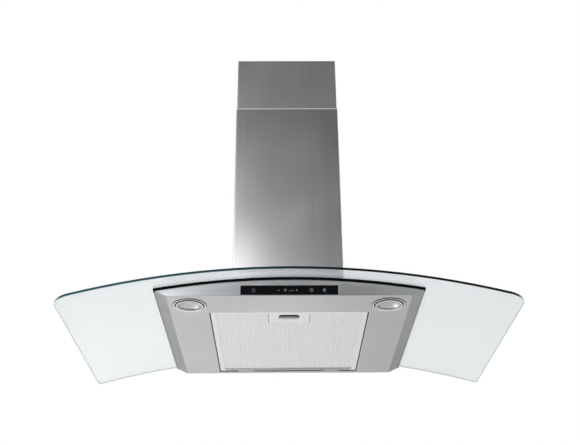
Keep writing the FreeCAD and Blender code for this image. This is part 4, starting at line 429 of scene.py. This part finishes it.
# Brushed grain: long thin noise in two weights, plus slow patches left by handling.
brushed, inside, outside = new_group(
    "brushed_grain",
    {
        "Position": ("NodeSocketVector", None),
        "Grain": ("NodeSocketVector", (1, 1, 1)),
        "Colour": ("NodeSocketColor", (0.6, 0.6, 0.6, 1)),
        "Contrast": ("NodeSocketFloat", 0.08),
        "Roughness": ("NodeSocketFloat", 0.35),
    },
    {"Colour": "NodeSocketColor", "Roughness": "NodeSocketFloat", "Height": "NodeSocketFloat"},
)
along = node_in(brushed, "VectorMath", {
    0: inside.outputs["Position"], 1: inside.outputs["Grain"]}, operation="MULTIPLY").outputs[0]
hair = node_in(brushed, "TexNoise", {"Vector": along, "Scale": 1.0, "Detail": 2.0}).outputs["Fac"]
strand = node_in(brushed, "TexNoise", {"Vector": along, "Scale": 0.16, "Detail": 3.0}).outputs["Fac"]
smear = node_in(brushed, "TexNoise", {
    "Vector": inside.outputs["Position"], "Scale": 7.0, "Detail": 1.0}).outputs["Fac"]
lines = node_in(brushed, "Mix", {
    "Factor": 0.5, VALUE_FIRST: hair, VALUE_SECOND: strand}, data_type="FLOAT").outputs[0]
centred = figured(brushed, "SUBTRACT", lines, 0.5)
gain = figured(brushed, "ADD", figured(brushed, "MULTIPLY", centred, inside.outputs["Contrast"]), 1.0)
toned = node_in(brushed, "VectorMath", {0: inside.outputs["Colour"], "Scale": gain}, operation="SCALE")
drift = ramp(brushed, figured(brushed, "ADD", smear, lines), 0.6, 1.4, -0.04, 0.04)
grained = figured(brushed, "ADD", inside.outputs["Roughness"], drift)
brushed.links.new(toned.outputs[0], outside.inputs["Colour"])
brushed.links.new(grained, outside.inputs["Roughness"])
brushed.links.new(hair, outside.inputs["Height"])


def brushed_metal(name, colour, grain, roughness, contrast, bump, metallic=1.0):
    """Metal whose grain is stretched along one direction of the piece."""
    made = finish_named(name, colour, metallic, roughness)
    tree, shader = workings(made)
    lined = node_in(tree, "Group", {
        "Position": node_in(tree, "TexCoord").outputs["Object"], "Grain": grain, "Colour": (*colour, 1),
        "Contrast": contrast, "Roughness": roughness}, node_tree=brushed)
    tree.links.new(lined.outputs["Colour"], shader.inputs["Base Color"])
    tree.links.new(lined.outputs["Roughness"], shader.inputs["Roughness"])
    bumped = node_in(tree, "Bump", {
        "Height": lined.outputs["Height"], "Strength": bump, "Distance": GRAIN_BUMP_DEPTH})
    tree.links.new(bumped.outputs[0], shader.inputs["Normal"])
    return made


def on_cut(edge, cuts):
    """True where both ends of the edge lie in one of the planes x = cut."""
    return any(all(abs(end.co.x - at) < MERGE_WITHIN for end in edge.verts) for at in cuts)


def eased_copy(node, body, width, cuts):
    """The CAD node with its edges eased: doubles merged, flat faces joined, a narrow bevel.

    The faces stay cut at each x in cuts, so that no joined face has a hole in it.
    """
    mesh = bpy.data.meshes.new("eased_" + node)
    work = bmesh.new()
    work.from_mesh(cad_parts[node].data)
    bmesh.ops.remove_doubles(work, verts=work.verts, dist=MERGE_WITHIN)
    for at in cuts:
        whole = list(work.verts) + list(work.edges) + list(work.faces)
        bmesh.ops.bisect_plane(work, geom=whole, dist=CUT_WITHIN, plane_co=(at, 0, 0), plane_no=(1, 0, 0))
    bmesh.ops.dissolve_limit(
        work, angle_limit=FLAT_ANGLE, verts=work.verts,
        edges=[edge for edge in work.edges if not on_cut(edge, cuts)], use_dissolve_boundaries=False)
    work.to_mesh(mesh)
    work.free()
    made = new_object("eased_" + node, mesh)
    bevel = made.modifiers.new("eased_edges", "BEVEL")
    bevel.width, bevel.segments = width, EASED_SEGMENTS
    bevel.limit_method, bevel.angle_limit = "ANGLE", FOLD_ANGLE
    for polygon in mesh.polygons:
        polygon.use_smooth = False
    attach(made, body)
    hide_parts(node)
    return made


body_steel = brushed_metal(
    "body_steel", STEEL, grain=(5, 1300, 1300), roughness=0.34, contrast=0.30, bump=0.3)
eased_body = eased_copy("body_shell", "hood", EASED_WIDTH, BODY_CUTS)
eased_body.data.materials.append(body_steel)

cover_steel = brushed_metal(
    "cover_steel", STEEL, grain=(1300, 1300, 5), roughness=0.36, contrast=0.09, bump=0.1)
tree, shader = workings(cover_steel)
# Painted highlight: a light, less metallic band along the top edge of the lower cover.
step_highlight = ramp(tree, places_in(tree)["Z"], SEEN_STEP - STEP_BLUR, SEEN_STEP + STEP_BLUR)
paint_over(cover_steel, step_highlight, STEP_HIGHLIGHT_STEEL)
tree.links.new(ramp(tree, step_highlight, 0.0, 1.0, 1.0, STEP_HIGHLIGHT_METALLIC), shader.inputs["Metallic"])
dress(cover_steel, "lower_chimney")

# Painted light: the upper cover has the same steel painted lighter, standing in for the light that falls on
# it.
lit_upper_steel = brushed_metal(
    "lit_upper_steel", LIT_UPPER_STEEL, grain=(1300, 1300, 5), roughness=0.38, contrast=0.09, bump=0.1)
dress(lit_upper_steel, "upper_chimney")

# ---- Glass canopy ----------------------------------------------------------------
# Toughened clear sheet, bent over a form before hardening. Its ground edges are dark
# teal, because they show the glass along its whole length. Towards the right the long
# edges are painted darker still, as shade.

GLASS_TINT, SHADOW_TINT, GLASS_IOR = (0.865, 0.898, 0.908), (0.93, 0.97, 0.98), 1.5
ARCH_CENTRE = -1.864  # height of the axis of the arch
FACE_LEAN = 0.97  # faces that point less than this along the radius of the arch are edges
EDGE_TEAL, EDGE_SHADED, EDGE_PALE = (0.006, 0.065, 0.080), (0.001, 0.004, 0.005), (0.42, 0.50, 0.51)
TEAL_TO_SHADED = (-0.45, 0.12)  # along X, where the long edges go from teal to painted shade
LONG_TO_END = (0.5, 0.9)  # as the edge turns to face sideways
canopy_glass = finish_named(
    "canopy_glass", GLASS_TINT, roughness=0.03, IOR=GLASS_IOR, Transmission_Weight=0.74)
tree, shader = workings(canopy_glass)
part = places_in(tree)
rise = figured(tree, "SUBTRACT", part["Z"], ARCH_CENTRE)
outward = node_in(tree, "CombineXYZ", {"X": part["X"], "Z": rise})
unit = node_in(tree, "VectorMath", {0: outward.outputs[0]}, operation="NORMALIZE")
facing = node_in(tree, "NewGeometry").outputs["True Normal"]
lean = node_in(tree, "VectorMath", {0: facing, 1: unit.outputs[0]}, operation="DOT_PRODUCT")
edge = figured(tree, "LESS_THAN", figured(tree, "ABSOLUTE", lean.outputs["Value"]), FACE_LEAN)
sideways = figured(tree, "ABSOLUTE", node_in(tree, "SeparateXYZ", {0: facing}).outputs["X"])
# Painted shade: the long edges darken from teal to near black towards the right.
shaded_long_edge = mixed(tree, ramp(tree, part["X"], *TEAL_TO_SHADED), (*EDGE_TEAL, 1), (*EDGE_SHADED, 1))
edge_colour = mixed(tree, ramp(tree, sideways, *LONG_TO_END), shaded_long_edge, (*EDGE_PALE, 1))
edge_glass = node_in(tree, "BsdfPrincipled", {
    "Base Color": edge_colour, "Roughness": 0.4, "IOR": GLASS_IOR, "Specular IOR Level": 0.12})
clear = node_in(tree, "BsdfTransparent", {"Color": (*SHADOW_TINT, 1)})
ray = node_in(tree, "LightPath")
sheet_or_edge = node_in(tree, "MixShader", {0: edge, 1: shader.outputs[0], 2: edge_glass.outputs[0]})
lit = node_in(tree, "MixShader", {
    0: ray.outputs["Is Shadow Ray"], 1: sheet_or_edge.outputs[0], 2: clear.outputs[0]})
tree.links.new(lit.outputs[0], tree.nodes["Material Output"].inputs["Surface"])
dress(canopy_glass, "glass_canopy")

# ---- Touch strip -----------------------------------------------------------------
# Gloss black strip behind a window in the leaning front panel, with seven dim
# symbols printed on it: power, slower, fan, speed, faster, timer and lamp.

gloss_black = mottled(
    "gloss_black", dark=(0.0030, 0.0030, 0.0034), light=(0.0055, 0.0055, 0.0060), smooth=0.08, rough=0.14,
    stretch=(200, 200, 200), bump=0.03, Specular_IOR_Level=0.2)
dress(gloss_black, "control_fascia")

STRIP_MIDDLE_Z, PRINT_HEIGHT, PRINT_LINE = -0.2555, 0.00012, 0.0008
FRONT_FOOT = (-0.4639, -0.2666, 0.161)  # y and z at the bottom of the leaning front, and its slope
FACE_DEPTH = 0.001013  # from the front panel back to the face of the strip
INK_WORN = 0.8  # worn ink has this share of the fresh colour
WHOLE_TURN, ARC_STEPS, SHORT_ARC_STEPS = 360.0, 28, 8


def printed_lines(strokes):
    """Raised flat lines on the leaning strip, as closed bars of rectangular section.

    Each stroke is (points, closed): an (n, 2) array of places across and up the
    strip. At each place the bar is offset by half a line width to both sides along
    the normal of the path, once on the face of the strip and once above it, and the
    four rails so made are joined into walls.
    """
    corners, faces, first = [], [], 0
    for points, closed in strokes:
        points = np.asarray(points, dtype=float)
        count = len(points)
        if closed:
            step = np.roll(points, -1, 0) - np.roll(points, 1, 0)
        else:
            step = np.gradient(points, axis=0)
        step /= np.linalg.norm(step, axis=1)[:, None]
        side = np.stack([-step[:, 1], step[:, 0]], 1) * PRINT_LINE / 2
        rails = np.stack([points - side, points + side, points + side, points - side], 1)
        x, z = rails[..., 0], rails[..., 1] + STRIP_MIDDLE_Z
        foot_y, foot_z, slope = FRONT_FOOT
        lift = np.array([PRINT_HEIGHT, PRINT_HEIGHT, 0, 0])
        y = foot_y - slope * (z - foot_z) + FACE_DEPTH - lift
        corners.append(np.stack([x, y, z], -1).reshape(-1, 3))
        at = np.arange(count if closed else count - 1)
        after = (at + 1) % count
        for rail in range(4):
            beside = (rail + 1) % 4
            wall = [at * 4 + rail, after * 4 + rail, after * 4 + beside, at * 4 + beside]
            faces.append(first + np.stack(wall, 1))
        if not closed:
            last = (count - 1) * 4
            faces.append(first + np.array([[0, 1, 2, 3], [last + 3, last + 2, last + 1, last]]))
        first += count * 4
    mesh = bpy.data.meshes.new("printed_lines")
    mesh.from_pydata(np.concatenate(corners).tolist(), [], np.concatenate(faces).tolist())
    work = bmesh.new()
    work.from_mesh(mesh)
    bmesh.ops.recalc_face_normals(work, faces=work.faces)
    work.to_mesh(mesh)
    work.free()
    return mesh


def arc_stroke(x, z, radius, start=0.0, end=WHOLE_TURN, steps=ARC_STEPS):
    """Points on a circle between two angles in degrees; a whole turn is closed."""
    whole = end - start >= WHOLE_TURN
    angle = np.radians(np.linspace(start, end, steps, endpoint=not whole))
    return np.stack([x + radius * np.cos(angle), z + radius * np.sin(angle)], 1), whole


def bar_stroke(x0, z0, x1, z1):
    """The two ends of a straight stroke."""
    return np.array([[x0, z0], [x1, z1]]), False


def print_finish(name, colour):
    """Ink that is a little worn and uneven."""
    return mottled(
        name, dark=tuple(INK_WORN * part for part in colour), light=colour, smooth=0.35, rough=0.5,
        stretch=(900, 900, 900), bump=0.1, bump_depth=0.00003)


def print_piece(name, finish, strokes):
    """One printed symbol, which rides the hood with the strip."""
    piece = new_object(name, printed_lines(strokes))
    piece.data.materials.append(finish)
    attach(piece, "hood")


grey_print = print_finish("grey_print", (0.20, 0.205, 0.21))
blue_print = print_finish("blue_print", (0.16, 0.29, 0.42))
steel_print = print_finish("steel_print", (0.10, 0.13, 0.165))
# The places of the symbols across the strip. Their strokes are in metres from there.
POWER_X, LESS_X, SPEED_X, MORE_X, TIMER_X, LAMP_SIGN_X = -0.070, -0.022, -0.0015, 0.0145, 0.043, 0.068
FAN_X, FAN_Z = SPEED_X - 0.0065, 0.0004
print_piece("symbol_power", steel_print, [
    arc_stroke(POWER_X, 0, 0.0030, 120, 420), bar_stroke(POWER_X, 0.0008, POWER_X, 0.0040)])
print_piece("symbol_less", grey_print, [bar_stroke(LESS_X - 0.0026, 0, LESS_X + 0.0026, 0)])
print_piece("symbol_fan", grey_print, [arc_stroke(FAN_X, FAN_Z, 0.0011)] + [
    arc_stroke(FAN_X, FAN_Z, 0.0022, start, start + 80, SHORT_ARC_STEPS) for start in (20, 140, 260)])
print_piece("symbol_speed", grey_print, [
    bar_stroke(SPEED_X + 0.0028 * step, -0.0016, SPEED_X + 0.0028 * step, -0.0004 + 0.0007 * step)
    for step in range(4)])
print_piece("symbol_more", grey_print, [
    bar_stroke(MORE_X - 0.0022, 0, MORE_X + 0.0022, 0), bar_stroke(MORE_X, -0.0022, MORE_X, 0.0022)])
print_piece("symbol_timer", grey_print, [
    arc_stroke(TIMER_X, 0, 0.0031), bar_stroke(TIMER_X, 0.0002, TIMER_X, 0.0021),
    bar_stroke(TIMER_X - 0.0002, 0, TIMER_X + 0.0016, 0)])
print_piece("symbol_lamp", blue_print, [
    arc_stroke(LAMP_SIGN_X, 0.0006, 0.0023, -50, 230),
    bar_stroke(LAMP_SIGN_X - 0.0014, -0.0018, LAMP_SIGN_X + 0.0014, -0.0018),
    bar_stroke(LAMP_SIGN_X - 0.0010, -0.0032, LAMP_SIGN_X + 0.0010, -0.0032),
    arc_stroke(LAMP_SIGN_X, 0.0006, 0.0009)])

# ---- Lamps -----------------------------------------------------------------------
# Bright pressed ring with a groove round a raised rim, a frosted lens and a
# metallised dish behind it. The groove and the outer edge of the ring are painted
# black as shade. They snap into the bottom plate.

LAMP_PLACE, GROOVE_SPAN, RING_EDGE = (0.198, -0.418), (0.0270, 0.0302), 0.0326
GROOVE_SHADE_BLACK = (0.004, 0.004, 0.005)
TRIM_METALLIC, SHADE_METALLIC = 0.35, 0.0
chrome_trim = mottled(
    "chrome_trim", dark=(0.90, 0.91, 0.92), light=(0.96, 0.97, 0.98), smooth=0.22, rough=0.32,
    stretch=(300, 300, 300), bump=0.05, metallic=TRIM_METALLIC)
tree, shader = workings(chrome_trim)
part = places_in(tree)
flat_place = node_in(tree, "CombineXYZ", {"X": figured(tree, "ABSOLUTE", part["X"]), "Y": part["Y"]})
apart = node_in(tree, "VectorMath", {
    0: flat_place.outputs[0], 1: (*LAMP_PLACE, 0)}, operation="DISTANCE").outputs["Value"]
# Painted shade: black and not metallic in the groove and past the outer edge of the ring.
past = figured(tree, "GREATER_THAN", apart, GROOVE_SPAN[0])
short = figured(tree, "LESS_THAN", apart, GROOVE_SPAN[1])
outer_edge_shade = figured(tree, "GREATER_THAN", apart, RING_EDGE)
painted_shade = figured(tree, "MAXIMUM", figured(tree, "MULTIPLY", past, short), outer_edge_shade)
paint_over(chrome_trim, painted_shade, GROOVE_SHADE_BLACK)
tree.links.new(ramp(tree, painted_shade, 0.0, 1.0, TRIM_METALLIC, SHADE_METALLIC), shader.inputs["Metallic"])
dress(chrome_trim, "lamp_bezel_left", "lamp_bezel_right")

dish_mirror = mottled(
    "dish_mirror", dark=(0.86, 0.87, 0.88), light=(0.94, 0.95, 0.96), smooth=0.16, rough=0.26,
    stretch=(500, 500, 500), bump=0.2, metallic=0.6)
dress(dish_mirror, "lamp_reflector_left", "lamp_reflector_right")

lamp_glass = mottled(
    "lamp_glass", dark=(0.92, 0.94, 0.95), light=(0.98, 0.99, 1.0), smooth=0.14, rough=0.22,
    stretch=(200, 200, 200), bump=0.05, Transmission_Weight=1.0, IOR=1.45)
dress(lamp_glass, "lamp_lens_left", "lamp_lens_right")

# ---- Grease filter ---------------------------------------------------------------
# Rolled aluminium: a channel frame round a ribbed face, a folded core and a punched
# net, with a pressed handle plate at the front edge and a sprung steel latch in it.

SHADED_BAND_PITCH, SHADED_BAND_FROM, SHADED_BAND_DARK = 0.006, 0.6, 0.93
RIB_RISE = (0.0002, 0.0012)  # the deep faces of the ribs begin this far above their foot
RIB_LIT = (0.93, 0.93, 0.94)
SHADE_DASH_PITCH, SHADE_DASH_EDGE, SHADE_DASH_BLACK = 0.006, 0.15, (0.01, 0.01, 0.011)
SHADE_DASH_ROW, ROW_BLUR = -0.0290, 0.0002
SHADE_DASH_SIDE, SHADE_DASH_FAINT = (-0.06, 0.0), 0.35  # the painted shade dashes are faint at the left
FILTER_INNER_Z, INNER_BLUR = -0.2637, 0.0001  # the inside of the frame, above this, is painted dark as shade
INNER_SHADE = (0.05, 0.05, 0.052)
filter_face = brushed_metal(
    "filter_face", (0.84, 0.84, 0.85), grain=(500, 30, 500), roughness=0.55, contrast=0.01, bump=0.02,
    metallic=0.35)
tree = filter_face.node_tree
part = places_in(tree)
# Painted shade: bands across the face, darker near each crest of a wave, stand in for the shade of a fine
# embossing.
shaded_band_wave = figured(tree, "SINE", figured(tree, "MULTIPLY", part["Y"], 2 * math.pi / SHADED_BAND_PITCH))
shade_by(filter_face, ramp(tree, shaded_band_wave, SHADED_BAND_FROM, 1.0, 1.0, SHADED_BAND_DARK))
rib_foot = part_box("filter_face")[0][2]
# Painted light: the deep faces of the ribs are painted lighter, against the shade that falls in them.
rib_lit_mask = ramp(tree, part["Z"], rib_foot + RIB_RISE[0], rib_foot + RIB_RISE[1])
paint_over(filter_face, rib_lit_mask, RIB_LIT)
# Painted shade: a row of black dashes near the rear of the face, for the shade in the gap and slots at the
# rear of the window.
beat = figured(tree, "COSINE", figured(tree, "MULTIPLY", part["X"], 2 * math.pi / SHADE_DASH_PITCH))
shade_dash = ramp(tree, beat, -SHADE_DASH_EDGE, SHADE_DASH_EDGE)
fade = ramp(tree, part["X"], *SHADE_DASH_SIDE, SHADE_DASH_FAINT, 1.0)
on_shade_row = ramp(tree, part["Y"], SHADE_DASH_ROW, SHADE_DASH_ROW + ROW_BLUR)
paint_over(filter_face, figured(tree, "MULTIPLY", figured(tree, "MULTIPLY", shade_dash, fade), on_shade_row), SHADE_DASH_BLACK)
dress(filter_face, "filter_face")

filter_frame = brushed_metal(
    "filter_frame", (0.88, 0.88, 0.89), grain=(40, 600, 600), roughness=0.45, contrast=0.05, bump=0.05,
    metallic=0.3)
tree = filter_frame.node_tree
# Painted shade: the inside of the frame is painted near black.
inner_shade_mask = ramp(tree, places_in(tree)["Z"], FILTER_INNER_Z - INNER_BLUR, FILTER_INNER_Z + INNER_BLUR)
paint_over(filter_frame, inner_shade_mask, INNER_SHADE)
dress(filter_frame, "filter_frame", "filter_handle")

# Painted shade: the aluminium core and back are painted near black, as the shade inside the filter.
filter_inside_shade = mottled(
    "filter_inside_shade", dark=(0.03, 0.03, 0.032), light=(0.075, 0.075, 0.078), smooth=0.5, rough=0.7,
    stretch=(300, 300, 300), bump=0.2, metallic=0.4)
dress(filter_inside_shade, "filter_core", "filter_back")

latch_plate = brushed_metal(
    "latch_plate", (0.80, 0.80, 0.81), grain=(30, 700, 700), roughness=0.4, contrast=0.05, bump=0.05,
    metallic=0.3)
dress(latch_plate, "filter_latch")

# The two leaf springs behind the latch ride the filter. In the real hood they flatten as
# the latch is pulled back; here their shape stays fixed.
leaf_springs = merged_copy("latch_springs", "leaf_springs", zinc_plate)
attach(leaf_springs, "filter")
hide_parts("latch_springs")
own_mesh(leaf_springs)
